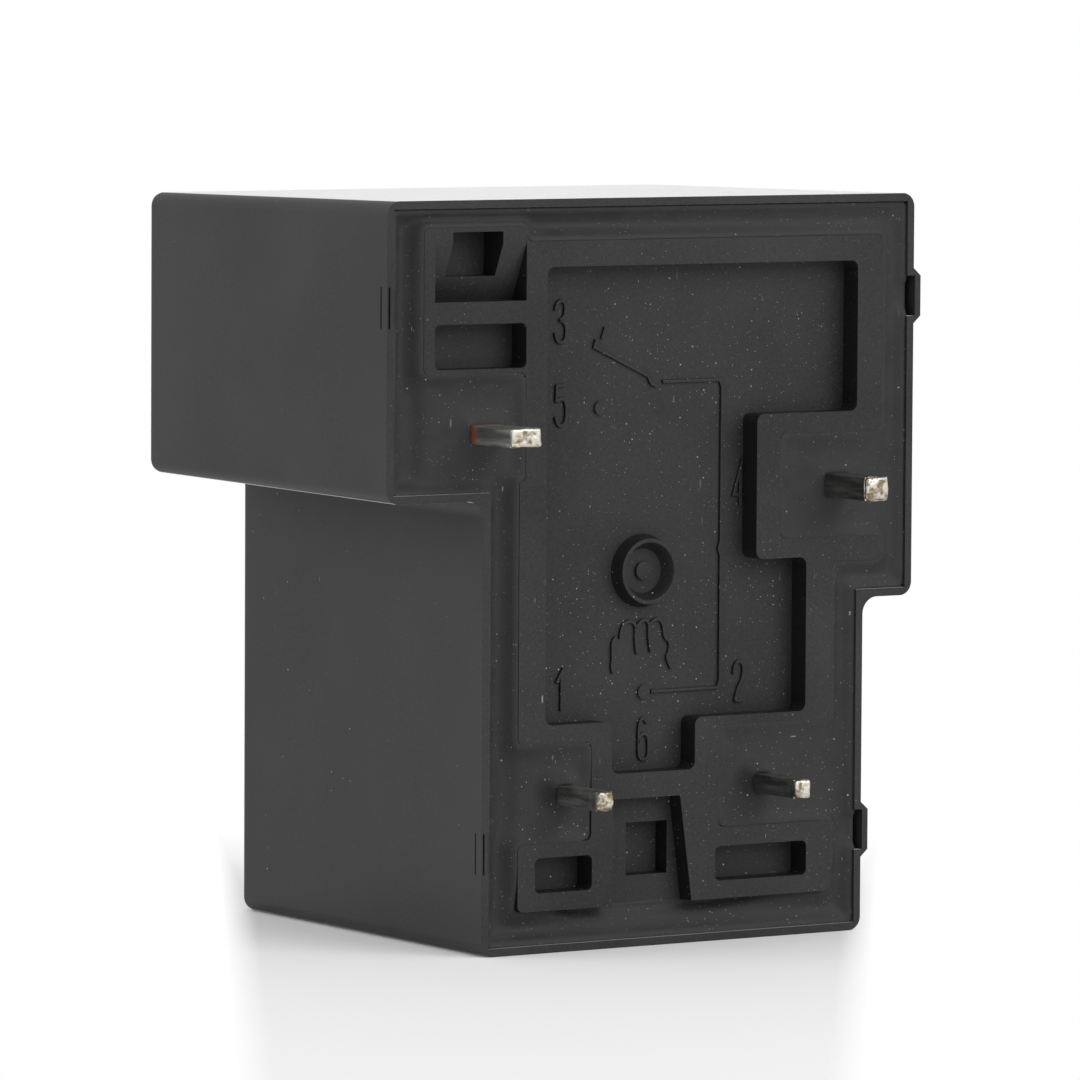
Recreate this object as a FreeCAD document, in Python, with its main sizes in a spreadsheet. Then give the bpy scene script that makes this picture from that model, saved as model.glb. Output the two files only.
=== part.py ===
"""Sealed automotive power relay for a printed circuit board, one make contact.

Frame: X to the right seen from the pin side, Y from the pins towards the closed
far face, Z up. The origin lies on the narrow end that the relay stands on, at
the middle of the wide part's width and of the case's depth. Millimetres.
"""
import FreeCAD, Part
import math
import os
import re
import Sketcher
from FreeCAD import Placement, Rotation, Vector

ALONG_X, ALONG_Y, ALONG_Z = Vector(1, 0, 0), Vector(0, 1, 0), Vector(0, 0, 1)
# How far a cutting shape runs past the face it opens, in millimetres
PAST = 0.2

doc = FreeCAD.newDocument("Relay")
sheet = doc.addObject("Spreadsheet::Sheet", "Sizes")

# Driving sizes: alias, value, what it is
DRIVING = (
    ("case_width", 27.2, "wide part, left to right"),
    ("case_length", 32.2, "narrow end to wide end"),
    ("case_depth", 20.1, "rim to far face"),
    ("wall", 1.0, "case wall"),
    ("left_step", 4.85, "how far the wide part reaches past the narrow one, left"),
    ("right_step", 2.6, "the same, right"),
    ("left_shoulder_drop", 2.83, "left step of the case below pin 5"),
    ("right_shoulder_drop", 4.95, "right step of the case below pin 4"),
    ("mould_draft", 0.21, "how far the upright faces lean in over the depth"),
    ("corner_radius", 0.6, "outer corners of the outline"),
    ("shoulder_radius", 0.75, "hollow corners of the outline"),
    ("far_radius", 0.5, "edge round the far face"),
    ("rim_lip", 0.35, "width of the rim seen from the pin side"),
    ("rebate_depth", 1.8, "how far the thin rim reaches down to the base"),
    ("catch_bulge", 0.37, "how far the right-hand catches stand out"),
    ("catch_skin", 0.3, "wall left outside a catch pocket"),
    ("catch_upper_low", 26.5, "bottom of the upper catches"),
    ("catch_lower_low", 3.2, "bottom of the lower catches"),
    ("catch_length", 2.42, "height of a catch"),
    ("catch_chamfer", 0.33, "sloped end of a catch"),
    ("catch_depth", 2.6, "how far a catch pocket reaches down from the rim"),
    ("catch_play", 0.1, "clearance of a lug in its catch pocket"),
    ("hook_depth", 0.45, "left catch's hook, down from the rim"),
    ("hook_thick", 0.07, "left catch's hook, in from the outer face"),
    ("seam_width", 0.09, "seams round the left catches' hooks"),
    ("seam_depth", 0.15, "how deep the seams reach"),
    ("fit_gap", 0.05, "clearance of what fits in the case or in the base"),
    ("bore_gap", 0.02, "clearance of rivets and shanks in their holes"),
    ("platform_depth", 0.1, "raised face of the base below the rim"),
    ("flange_thickness", 1.2, "flange of the base"),
    ("gutter_left", 1.9, "outline to the base's raised face, left wing"),
    ("gutter_right", 1.6, "outline to the raised face, right"),
    ("gutter_end", 1.8, "outline to the raised face, top and bottom ends"),
    ("gutter_corner", 1.15, "outline to the raised face, top of the left wing"),
    ("recess_floor", 1.2, "floor of the middle recess below the rim"),
    ("ring_left", 1.37, "raised face left of the middle recess"),
    ("ring_right", 1.32, "raised face right of the recess, above pin 4"),
    ("ring_waist", 1.2, "raised face between the recess and pin 4's well"),
    ("ring_hip", 1.35, "raised face right of the recess, under pin 4"),
    ("ring_foot_left", 1.05, "raised face between pin 1's well and the recess"),
    ("ring_foot_right", 1.25, "raised face between the recess and pin 2's well"),
    ("ring_top", 1.1, "raised face above the recess"),
    ("ring_over_four", 0.9, "raised face above pin 4's well"),
    ("ring_under_four", 0.85, "raised face under pin 4's well"),
    ("recess_low", 9.75, "bottom wall beside the foot"),
    ("recess_foot_low", 7.5, "bottom of the foot"),
    ("recess_radius", 0.35, "corners of the recess"),
    ("platform_radius", 0.3, "corners of the raised face"),
    ("jog_radius", 0.14, "corners of its jog under pin 5's well"),
    ("wing_jog", 0.3, "left wing past the raised face's left edge"),
    ("well_five_under", 2.03, "well of pin 5 under the pin"),
    ("well_five_over", 2.57, "well of pin 5 over the pin"),
    ("well_one_beside", 1.32, "well of pin 1 right of the pin"),
    ("well_one_under", 2.02, "well of pin 1 under the pin"),
    ("well_one_over", 2.23, "well of pin 1 over the pin"),
    ("well_four_beside", 3.02, "well of pin 4 left of the pin"),
    ("well_four_under", 2.25, "well of pin 4 under the pin"),
    ("well_four_over", 2.3, "well of pin 4 over the pin"),
    ("well_two_beside", 2.3, "well of pin 2 left of the pin"),
    ("well_two_under", 1.82, "well of pin 2 under the pin"),
    ("well_two_over", 2.63, "well of pin 2 over the pin"),
    ("gutter_level", 1.05, "resin in the gutter below the rim"),
    ("well_level", 0.5, "resin round the pins below the rim"),
    ("notch_inset", 0.1, "open notch at the narrow end inside the recess's foot"),
    ("notch_lean", 0.65, "how far its right wall leans in"),
    ("notch_top", 6.4, "its top wall"),
    ("notch_floor", 0.98, "its floor below the rim"),
    ("slot_depth", 1.15, "blind slots below the raised face"),
    ("slot_radius", 0.25, "corners of the slots"),
    ("wing_wall", 0.55, "raised face left of the slot and the ramp in the left wing"),
    ("left_slot_down", 6.0, "slot in the left wing, bottom below the wing's top"),
    ("left_slot_tall", 1.9, "slot in the left wing, height"),
    ("ramp_down", 3.15, "ramp in the left wing, deep end below the wing's top"),
    ("ramp_tall", 2.45, "ramp in the left wing, height"),
    ("left_pocket_inset", 0.89, "pocket in the ramp, from the ramp's left wall"),
    ("left_pocket_outset", 1.19, "pocket in the ramp, from the wing's right edge"),
    ("left_pocket_down", 2.1, "pocket in the ramp, bottom below the wing's top"),
    ("left_pocket_tall", 1.9, "pocket in the ramp, height"),
    ("left_pocket_floor", 1.65, "pocket in the ramp, floor below the rim"),
    ("low_slot_inset", 0.88, "slot under pin 1, from the raised face's left edge"),
    ("low_slot_past", 0.05, "slot under pin 1, past the well's right wall"),
    ("right_slot_past", 0.15, "slot under pin 2, past the well's left wall"),
    ("right_slot_inset", 1.25, "slot under pin 2, from the raised face's right edge"),
    ("low_slots_low", 2.58, "slots under the coil pins, bottom"),
    ("low_slots_top", 4.08, "slots under the coil pins, top"),
    ("notch_pocket_share", 0.3565, "part of the notch's width left of its pocket"),
    ("notch_pocket_inset", 0.09, "pocket in the notch, from the notch's right wall"),
    ("notch_pocket_low", 2.97, "pocket in the notch, bottom"),
    ("notch_pocket_top", 5.25, "pocket in the notch, top"),
    ("notch_pocket_floor", 1.85, "pocket in the notch, floor below the rim"),
    ("boss_x", 0.15, "vent boss, across"),
    ("boss_z", 16.1, "vent boss, height"),
    ("boss_base_radius", 1.6, "vent boss at its foot"),
    ("boss_top_radius", 1.42, "vent boss at its top"),
    ("boss_mouth_radius", 1.26, "dished mouth at the top"),
    ("boss_dish_radius", 0.95, "dished mouth at its floor"),
    ("boss_height", 0.65, "vent boss above the recess"),
    ("boss_floor", 0.06, "floor of the dish above the recess"),
    ("pip_radius", 0.4, "pip in the dish"),
    ("pip_height", 0.14, "pip above the dish's floor"),
    ("pin_reach", 3.0, "pins in front of the rim"),
    ("pin_point", 0.16, "chamfer round the pins' ends"),
    ("coil_pin_side", 0.8, "square coil pins"),
    ("coil_pin_one_share", 0.21924, "pin 1, part of the narrow width left of it"),
    ("coil_pin_two_share", 0.73671, "pin 2, part of the narrow width left of it"),
    ("coil_pin_height", 6.72, "coil pins, height"),
    ("open_pin_inset", 5.08, "pin 5 from the case's left face"),
    ("open_pin_drop", 0.72, "pin 5 below the pole face"),
    ("open_pin_width", 1.5, "pin 5, across the blade"),
    ("open_pin_thick", 0.78, "pin 5 and its terminal, thickness"),
    ("common_pin_flush", 0.025, "pin 4 past its tongue's outer face"),
    ("common_pin_drop", 3.45, "pin 4 below the pole face"),
    ("common_pin_width", 1.17, "pin 4, left to right"),
    ("common_pin_tall", 1.0, "pin 4, top to bottom"),
    ("common_tongue_thick", 0.74, "terminal 4's tongue on the yoke"),
    ("motor_depth", 11.0, "coil axis below the rim"),
    ("yoke_thick", 1.6, "yoke plate"),
    ("yoke_width", 12.0, "yoke plate, along the depth"),
    ("yoke_foot_low", 1.3, "underside of the yoke's foot"),
    ("yoke_foot_reach", 5.5, "foot past the coil axis"),
    ("yoke_room", 6.1, "case's right face to the leg's inner face"),
    ("yoke_bend", 0.4, "inner bend of the yoke"),
    ("leg_tab_low", 9.5, "yoke's tab on the leg, bottom"),
    ("leg_tab_top", 13.0, "yoke's tab on the leg, top"),
    ("foot_tab_left", -2.6, "yoke's tab on the foot, left"),
    ("foot_tab_right", 1.4, "yoke's tab on the foot, right"),
    ("head_room", 9.2, "top of the case above the pole face"),
    ("core_radius", 3.0, "core in the bobbin"),
    ("tenon_radius", 2.3, "core's riveted end in the yoke"),
    ("pole_radius", 4.4, "pole face"),
    ("pole_thick", 1.2, "pole plate"),
    ("pole_chamfer", 0.2, "edge round the pole face"),
    ("bobbin_flange", 1.2, "bobbin flanges, thickness"),
    ("bobbin_side_gap", 0.4, "bobbin flanges to the yoke's leg"),
    ("bobbin_deep", 14.4, "bobbin flanges, along the depth"),
    ("bobbin_tube_wall", 0.65, "bobbin tube"),
    ("bobbin_round", 0.8, "corners of the bobbin flanges"),
    ("winding_inset", 0.6, "winding inside the bobbin flanges' sides"),
    ("tape_thick", 0.2, "tape round the winding"),
    ("tape_inset", 0.3, "winding left bare beyond each edge of the tape"),
    ("post_width", 2.2, "pin posts on the bobbin, across"),
    ("post_start", 4.0, "front of the pin posts below the rim"),
    ("post_deep", 1.1, "pin posts along the depth"),
    ("post_cap", 0.6, "pin posts above the pins"),
    ("post_skin", 0.2, "pin posts behind the pins' ends"),
    ("rest_angle", 3.2, "armature's tilt when the coil is off, degrees"),
    ("air_gap", 0.03, "left over when the armature has closed"),
    ("armature_thick", 1.5, "armature plate"),
    ("armature_width", 11.0, "armature plate along the depth"),
    ("armature_short", 2.2, "armature's free end short of the moving contact"),
    ("armature_nose", 2.4, "tapered length at the armature's free end"),
    ("armature_taper", 1.6, "how far each side tapers in"),
    ("hinge_gap", 0.05, "armature short of the yoke's outer face"),
    ("spring_thick", 0.3, "contact spring"),
    ("spring_width", 8.6, "contact spring at the armature"),
    ("spring_tip_width", 4.6, "contact spring at the contact"),
    ("spring_tip_inset", 2.1, "case's left face to the spring's free end"),
    ("spring_bow", 2.1, "how far the spring's bend stands off the yoke"),
    ("spring_bend", 0.35, "inner bend of the spring over the hinge"),
    ("spring_foot_half", 1.6, "spring's foot above and below its rivets"),
    ("contact_inset", 4.6, "case's left face to the contacts' axis"),
    ("contact_radius", 1.6, "contact faces"),
    ("contact_dome", 0.15, "rise of the contact faces"),
    ("contact_shank", 0.75, "contact shanks"),
    ("contact_tail", 0.3, "riveted contact tails"),
    ("contact_lip", 0.4, "riveted contact tails past the shanks"),
    ("contact_edge", 0.25, "rounded-off edge of a contact face"),
    ("fixed_oversize", 0.2, "fixed contact wider than the moving one"),
    ("terminal_end", 13.4, "terminal 5's plate ends here below the rim"),
    ("terminal_inset", 1.6, "case's left face to terminal 5's plate"),
    ("terminal_gap", 0.1, "terminal 5's plate to the bobbin flanges"),
    ("tongue_trim", 0.3, "terminal 4's tongue short of the spring's bend"),
    ("tongue_margin", 1.6, "terminal 4's tongue past its inner rivet"),
    ("tongue_lap", 0.8, "overlap of terminal 4's pin and tongue"),
    ("rivet_radius", 0.75, "rivet shanks"),
    ("rivet_head_radius", 1.15, "rivet heads"),
    ("rivet_head", 0.35, "rivet heads, height"),
    ("rivet_inner_head", 0.3, "yoke rivets' heads inside the yoke"),
    ("rivet_pitch", 5.6, "rivet pairs along the depth"),
    ("armature_rivet_inset", 1.5, "armature rivets inside the yoke's leg"),
    ("stop_thick", 0.8, "backstop plate"),
    ("stop_overlap", 1.0, "backstop over the spring's tip"),
    ("stop_margin", 0.5, "backstop past the spring's tip"),
    ("stop_socket", 0.8, "how deep the backstop and yoke tabs sit in the base"),
    ("lead_radius", 0.12, "coil lead wire"),
    ("solder_radius", 0.72, "solder round a coil pin"),
    ("solder_length", 0.5, "solder along the pin"),
    ("lead_rise", 1.6, "coil leads upwards from the solder"),
    ("lead_bend", 0.3, "bend of the coil leads"),
)

# Worked-out places, as formulas of the driving sizes
DERIVED = (
    ("rim_y", "-case_depth / 2"),
    ("far_y", "case_depth / 2"),
    ("left_x", "-case_width / 2"),
    ("right_x", "case_width / 2"),
    ("narrow_left", "left_x + left_step"),
    ("narrow_right", "right_x - right_step"),
    ("narrow_width", "narrow_right - narrow_left"),
    ("flange_front", "rim_y + rebate_depth"),
    ("flange_back", "flange_front + flange_thickness"),
    ("platform_y", "rim_y + platform_depth"),
    ("yoke_offset", "right_x - yoke_room"),
    ("leg_inner", "yoke_offset"),
    ("leg_outer", "yoke_offset + yoke_thick"),
    ("tongue_inner", "leg_outer + spring_thick + 2 * bore_gap"),
    ("tongue_outer", "tongue_inner + common_tongue_thick"),
    ("pole_height", "case_length - head_room"),
    ("open_pin_height", "pole_height - open_pin_drop"),
    ("common_pin_height", "pole_height - common_pin_drop"),
    ("left_shoulder", "open_pin_height - left_shoulder_drop"),
    ("right_shoulder", "common_pin_height - right_shoulder_drop"),
    ("coil_pin_one_x", "narrow_left + coil_pin_one_share * narrow_width"),
    ("coil_pin_two_x", "narrow_left + coil_pin_two_share * narrow_width"),
    ("open_pin_x", "left_x + open_pin_inset"),
    ("common_pin_x", "tongue_outer + common_pin_flush - common_pin_width / 2"),
    ("platform_left", "left_x + gutter_left"),
    ("platform_inner_left", "narrow_left + gutter_left"),
    ("platform_right", "right_x - gutter_right"),
    ("platform_waist", "narrow_right - gutter_right"),
    ("platform_top", "case_length - gutter_end"),
    ("wing_top", "case_length - gutter_corner"),
    ("well_five_right", "platform_inner_left + wing_jog"),
    ("well_five_low", "open_pin_height - well_five_under"),
    ("well_five_top", "open_pin_height + well_five_over"),
    ("well_one_right", "coil_pin_one_x + well_one_beside"),
    ("well_one_low", "coil_pin_height - well_one_under"),
    ("well_one_top", "coil_pin_height + well_one_over"),
    ("well_four_left", "common_pin_x - well_four_beside"),
    ("well_four_low", "common_pin_height - well_four_under"),
    ("well_four_top", "common_pin_height + well_four_over"),
    ("well_two_left", "coil_pin_two_x - well_two_beside"),
    ("well_two_low", "coil_pin_height - well_two_under"),
    ("well_two_top", "coil_pin_height + well_two_over"),
    ("recess_left", "platform_inner_left + ring_left"),
    ("recess_right", "platform_right - ring_right"),
    ("recess_waist", "well_four_left - ring_waist"),
    ("recess_hip", "platform_waist - ring_hip"),
    ("recess_foot_left", "well_one_right + ring_foot_left"),
    ("recess_foot_right", "well_two_left - ring_foot_right"),
    ("recess_top", "platform_top - ring_top"),
    ("recess_waist_top", "well_four_top + ring_over_four"),
    ("recess_waist_low", "well_four_low - ring_under_four"),
    ("notch_left", "recess_foot_left + notch_inset"),
    ("notch_right_low", "recess_foot_right - notch_inset"),
    ("notch_right_top", "notch_right_low - notch_lean"),
    ("notch_pocket_left", "notch_left + notch_pocket_share * (notch_right_top - notch_left)"),
    ("notch_pocket_right", "notch_right_top - notch_pocket_inset"),
    ("slot_floor", "platform_y + slot_depth"),
    ("left_slot_left", "platform_left + wing_wall"),
    ("left_slot_low", "wing_top - left_slot_down"),
    ("left_slot_top", "left_slot_low + left_slot_tall"),
    ("ramp_low", "wing_top - ramp_down"),
    ("ramp_top", "ramp_low + ramp_tall"),
    ("left_pocket_left", "left_slot_left + left_pocket_inset"),
    ("left_pocket_right", "well_five_right - left_pocket_outset"),
    ("left_pocket_low", "wing_top - left_pocket_down"),
    ("left_pocket_top", "left_pocket_low + left_pocket_tall"),
    ("low_slot_left", "platform_inner_left + low_slot_inset"),
    ("low_slot_right", "well_one_right + low_slot_past"),
    ("right_slot_left", "well_two_left - right_slot_past"),
    ("right_slot_right", "platform_waist - right_slot_inset"),
    ("socket_floor", "flange_back - stop_socket"),
    ("socket_seat", "socket_floor + fit_gap"),
    ("post_front", "rim_y + post_start"),
    ("post_back", "post_front + post_deep"),
    ("motor_y", "rim_y + motor_depth"),
    ("foot_top", "yoke_foot_low + yoke_thick"),
    ("pole_low", "pole_height - pole_thick"),
    ("tube_radius", "core_radius + fit_gap + bobbin_tube_wall"),
    ("bobbin_wide", "2 * (yoke_offset - bobbin_side_gap)"),
    ("winding_radius", "bobbin_wide / 2 - winding_inset"),
    ("winding_low", "foot_top + bobbin_flange + fit_gap"),
    ("winding_top", "pole_low - bobbin_flange - fit_gap"),
    ("tape_radius", "winding_radius + bore_gap + tape_thick"),
    ("contact_x", "left_x + contact_inset"),
    ("terminal_left", "left_x + terminal_inset"),
    ("terminal_right", "-bobbin_wide / 2 - terminal_gap"),
    ("armature_reach", "-contact_x - contact_radius - armature_short"),
    ("armature_rivet_x", "yoke_offset - armature_rivet_inset"),
    ("armature_low", "pole_height + air_gap"),
    ("armature_top", "armature_low + armature_thick"),
    ("spring_tip_x", "left_x + spring_tip_inset"),
    ("spring_low", "armature_top + bore_gap"),
    ("spring_top", "spring_low + spring_thick"),
    ("mitre", "tan(22.5 deg)"),
    ("tilt_cos", "cos(rest_angle * 1 deg)"),
    ("tilt_sin", "sin(rest_angle * 1 deg)"),
    ("terminal_low", "open_pin_height - open_pin_thick / 2"),
    ("terminal_top", "open_pin_height + open_pin_thick / 2"),
    ("fixed_face", "terminal_top + (spring_low - terminal_top - air_gap) / 2"),
    ("pin_tip", "rim_y - pin_reach"),
    ("yoke_rivet_height", "common_pin_height"),
    ("spring_foot", "yoke_rivet_height - spring_foot_half"),
    ("spring_leave", "yoke_rivet_height + spring_foot_half"),
    ("spring_mid", "leg_outer + bore_gap + spring_thick / 2"),
    ("bow_x", "spring_mid + spring_bow"),
    ("stop_low", "pole_height + (leg_outer - spring_tip_x) * tilt_sin"
                 " + (spring_top - pole_height) * tilt_cos + air_gap"),
    ("stop_left", "spring_tip_x - stop_margin"),
    ("stop_right", "spring_tip_x + stop_overlap"),
    ("solder_y", "post_front - solder_length - 2 * fit_gap"),
)

ALIASES = [row[0] for row in DRIVING + DERIVED]
WORDS = re.compile(r"\b(" + "|".join(sorted(ALIASES, key=len, reverse=True)) + r")\b")


def with_sheet(formula):
    """The formula with every size's name pointing at its cell."""
    return WORDS.sub(r"Sizes.\1", str(formula))


def fill_sheet():
    row = 1
    for alias, value, meaning in DRIVING:
        sheet.set(f"A{row}", meaning)
        sheet.set(f"B{row}", str(value))
        sheet.setAlias(f"B{row}", alias)
        row += 1
    for alias, formula in DERIVED:
        sheet.set(f"A{row}", "worked out")
        sheet.set(f"B{row}", "=" + formula)
        sheet.setAlias(f"B{row}", alias)
        row += 1
    doc.recompute()


def number(formula):
    """The formula's present value."""
    value = sheet.evalExpression(with_sheet(formula))
    return float(getattr(value, "Value", value))


def bind(thing, prop, formula):
    thing.setExpression(prop, with_sheet(formula))


# Solids from primitives
def box(name, x_span, y_span, z_span):
    """A box between two formulas along each axis."""
    block = doc.addObject("Part::Box", name)
    for size, axis, (low, high) in zip(("Length", "Width", "Height"), "xyz", (x_span, y_span, z_span)):
        bind(block, size, f"({high}) - ({low})")
        bind(block, f"Placement.Base.{axis}", low)
    return block


def upright(name, radius, x, y, low, high):
    """A cylinder along Z."""
    rod = doc.addObject("Part::Cylinder", name)
    bind(rod, "Radius", radius)
    bind(rod, "Height", f"({high}) - ({low})")
    for axis, place in zip("xyz", (x, y, low)):
        bind(rod, f"Placement.Base.{axis}", place)
    return rod


def crosswise(name, radius, low, high, y, z):
    """A cylinder along X."""
    rod = doc.addObject("Part::Cylinder", name)
    rod.Placement = Placement(Vector(0, 0, 0), Rotation(Vector(0, 1, 0), 90))
    bind(rod, "Radius", radius)
    bind(rod, "Height", f"({high}) - ({low})")
    for axis, place in zip("xyz", (low, y, z)):
        bind(rod, f"Placement.Base.{axis}", place)
    return rod


def fuse(name, shapes):
    joined = doc.addObject("Part::MultiFuse", name)
    joined.Shapes = shapes
    joined.Refine = True
    return joined


def cut(name, base, tool):
    left = doc.addObject("Part::Cut", name)
    left.Base = base
    left.Tool = tool
    left.Refine = True
    return left


# Bodies from sketches
def new_body(name):
    return doc.addObject("PartDesign::Body", name)


def origin_plane(body, role):
    return next(item for item in body.Origin.OriginFeatures if item.Role == role)


def draw(sketch, points):
    """Close lines through points whose coordinates are formulas."""
    corners = [Vector(number(a), number(b), 0) for a, b in points]
    count = len(corners)
    for i in range(count):
        sketch.addGeometry(Part.LineSegment(corners[i], corners[(i + 1) % count]))
    for i in range(count):
        sketch.addConstraint(Sketcher.Constraint("Coincident", i, 2, (i + 1) % count, 1))
    for i, (a, b) in enumerate(points):
        for kind, formula, value in (("DistanceX", a, corners[i].x), ("DistanceY", b, corners[i].y)):
            index = sketch.addConstraint(Sketcher.Constraint(kind, -1, 1, i, 1, value))
            sketch.setExpression(f"Constraints[{index}]", with_sheet(formula))


def outline(body, role, name, points, offset="0"):
    """A body's closed sketch on one of its origin planes."""
    sketch = body.newObject("Sketcher::SketchObject", name)
    sketch.AttachmentSupport = [(origin_plane(body, role), "")]
    sketch.MapMode = "FlatFace"
    bind(sketch, "AttachmentOffset.Base.z", offset)
    draw(sketch, points)
    return sketch


def section(name, points, y):
    """A free sketch across the depth: x and z formulas at a y formula."""
    sketch = doc.addObject("Sketcher::SketchObject", name)
    sketch.Placement = Placement(Vector(0, 0, 0), Rotation(ALONG_X, 90))
    bind(sketch, "Placement.Base.y", y)
    draw(sketch, points)
    return sketch


def rounded(name, base, radius, test):
    """A solid with some of its edges rounded."""
    doc.recompute()
    size = number(radius)
    feature = doc.addObject("Part::Fillet", name)
    feature.Base = base
    feature.Edges = [(i, size, size) for i, edge in enumerate(base.Shape.Edges, 1) if test(edge)]
    return built(feature)


def built(feature):
    """Recompute and stop at once if the feature has failed."""
    doc.recompute()
    if "Invalid" in feature.State or feature.Shape.isNull():
        raise RuntimeError(feature.Name + " has failed")
    return feature


def rectangle(low_a, high_a, low_b, high_b):
    return [(low_a, low_b), (high_a, low_b), (high_a, high_b), (low_a, high_b)]


def pad(body, name, points, start, end, role="XZ_Plane"):
    """A prism between two places along the plane's axis."""
    along_y = role == "XZ_Plane"
    sketch = outline(body, role, name + "_outline", points, f"-({start})" if along_y else start)
    feature = body.newObject("PartDesign::Pad", name)
    feature.Profile = sketch
    bind(feature, "Length", f"({end}) - ({start})")
    feature.Reversed = along_y
    return built(feature)


def pocket(body, name, points, start, end, role="XZ_Plane"):
    """A prism taken away between two places along the plane's axis."""
    along_y = role == "XZ_Plane"
    before = body.Tip.Shape.Volume
    sketch = outline(body, role, name + "_outline", points, f"-({start})" if along_y else start)
    feature = body.newObject("PartDesign::Pocket", name)
    feature.Profile = sketch
    bind(feature, "Length", f"({end}) - ({start})")
    feature.Reversed = not along_y
    built(feature)
    if not feature.Shape.Volume < before:
        raise RuntimeError(name + " takes nothing away")
    return feature


def edge_names(shape, test):
    return [f"Edge{i}" for i, edge in enumerate(shape.Edges, 1) if test(edge)]


def fillet(body, name, radius, test):
    base = body.Tip
    names = edge_names(base.Shape, test)
    if not names:
        raise RuntimeError(name + " finds no edge")
    feature = body.newObject("PartDesign::Fillet", name)
    feature.Base = (base, names)
    feature.Refine = False
    bind(feature, "Radius", radius)
    return built(feature)


def chamfer(body, name, size, test):
    base = body.Tip
    names = edge_names(base.Shape, test)
    if not names:
        raise RuntimeError(name + " finds no edge")
    feature = body.newObject("PartDesign::Chamfer", name)
    feature.Base = (base, names)
    bind(feature, "Size", size)
    return built(feature)


def runs_along(edge, axis):
    """Whether a straight edge runs along an axis, within the mould draft."""
    if len(edge.Vertexes) != 2:
        return False
    span = edge.Vertexes[1].Point - edge.Vertexes[0].Point
    return abs(edge.Length - span.Length) < 1e-6 and abs(span.dot(axis)) > 0.995 * span.Length


def corner_test(places, axis, tolerance=0.4):
    """A test for edges along an axis that pass near one of the places."""
    def test(edge):
        if not runs_along(edge, axis):
            return False
        aways = [edge.CenterOfMass - place for place in places]
        return any((away - axis * away.dot(axis)).Length < tolerance for away in aways)
    return test


def case_outline(inset, foot_inset=None):
    """The T-shaped outline, a distance inside the case's outer faces."""
    low = inset if foot_inset is None else foot_inset
    left, right = f"left_x + {inset}", f"right_x - {inset}"
    inner_left, inner_right = f"narrow_left + {inset}", f"narrow_right - {inset}"
    top = f"case_length - {inset}"
    return [
        (inner_left, low), (inner_right, low), (inner_right, f"right_shoulder + {inset}"),
        (right, f"right_shoulder + {inset}"), (right, top), (left, top),
        (left, f"left_shoulder + {inset}"), (inner_left, f"left_shoulder + {inset}"),
    ]


CATCHES = ("catch_upper_low", "catch_lower_low")

# Pins: name, middle across, width, middle height, height of the section
PINS = (
    ("pin_1", "coil_pin_one_x", "coil_pin_side", "coil_pin_height", "coil_pin_side"),
    ("pin_2", "coil_pin_two_x", "coil_pin_side", "coil_pin_height", "coil_pin_side"),
    ("pin_5", "open_pin_x", "open_pin_width", "open_pin_height", "open_pin_thick"),
    ("pin_4", "common_pin_x", "common_pin_width", "common_pin_height", "common_pin_tall"),
)


def around(middle, size, margin="0"):
    """The span of a size about its middle, widened by a margin at each end."""
    return f"{middle} - {size} / 2 - {margin}", f"{middle} + {size} / 2 + {margin}"


def wider(span, margin):
    """A span widened by a margin at each end."""
    return f"{span[0]} - {margin}", f"{span[1]} + {margin}"


def pin_section(pin, margin="0"):
    _, x, wide, z, tall = pin
    return rectangle(*around(x, wide, margin), *around(z, tall, margin))


def at_tip(edge):
    """Whether an edge lies on the ends of the pins."""
    tip = number("pin_tip")
    return all(abs(vertex.Point.y - tip) < 0.001 for vertex in edge.Vertexes)


def catch_sides(low):
    """The case's outer faces beside a catch, left and right."""
    upper = low == "catch_upper_low"
    return ("left_x", "right_x") if upper else ("narrow_left", "narrow_right")


def leaning_block(name, left, right, low, high):
    """A block from the rim to the far face; each side is its formula and how far it leans in."""
    block = doc.addObject("Part::Wedge", name)
    spans = (("Xmin", "X2min", left, "+"), ("Xmax", "X2max", right, "-"),
             ("Zmin", "Z2min", low, "+"), ("Zmax", "Z2max", high, "-"))
    for near, far, (place, lean), sign in spans:
        bind(block, near, place)
        bind(block, far, f"{place} {sign} {lean}")
    bind(block, "Ymin", "rim_y")
    bind(block, "Ymax", "far_y")
    return block


def case_block():
    """The case's outer form: a T-shaped block whose sides lean in, with rounded edges.

    The narrow end stays upright, so that the relay stands square on it.
    """
    lean = "mould_draft"
    inner = ("narrow_left", lean), ("narrow_right", lean)
    top = "case_length", lean
    block = fuse("leaning_blocks", [
        leaning_block("narrow_block", *inner, ("0", "0"), top),
        leaning_block("left_block", ("left_x", lean), inner[1], ("left_shoulder", lean), top),
        leaning_block("right_block", inner[0], ("right_x", lean), ("right_shoulder", lean), top),
    ])
    points = [Vector(number(a), 0, number(b)) for a, b in case_outline("0")]
    hollow = [points[2], points[7]]
    solid = [point for point in points if point not in hollow]
    far = number("far_y")
    block = rounded("outer_corners", block, "corner_radius", corner_test(solid, ALONG_Y))
    block = rounded("shoulder_corners", block, "shoulder_radius", corner_test(hollow, ALONG_Y))
    return rounded("far_edge", block, "far_radius",
                   lambda edge: all(abs(v.Point.y - far) < 0.001 for v in edge.Vertexes))


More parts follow.
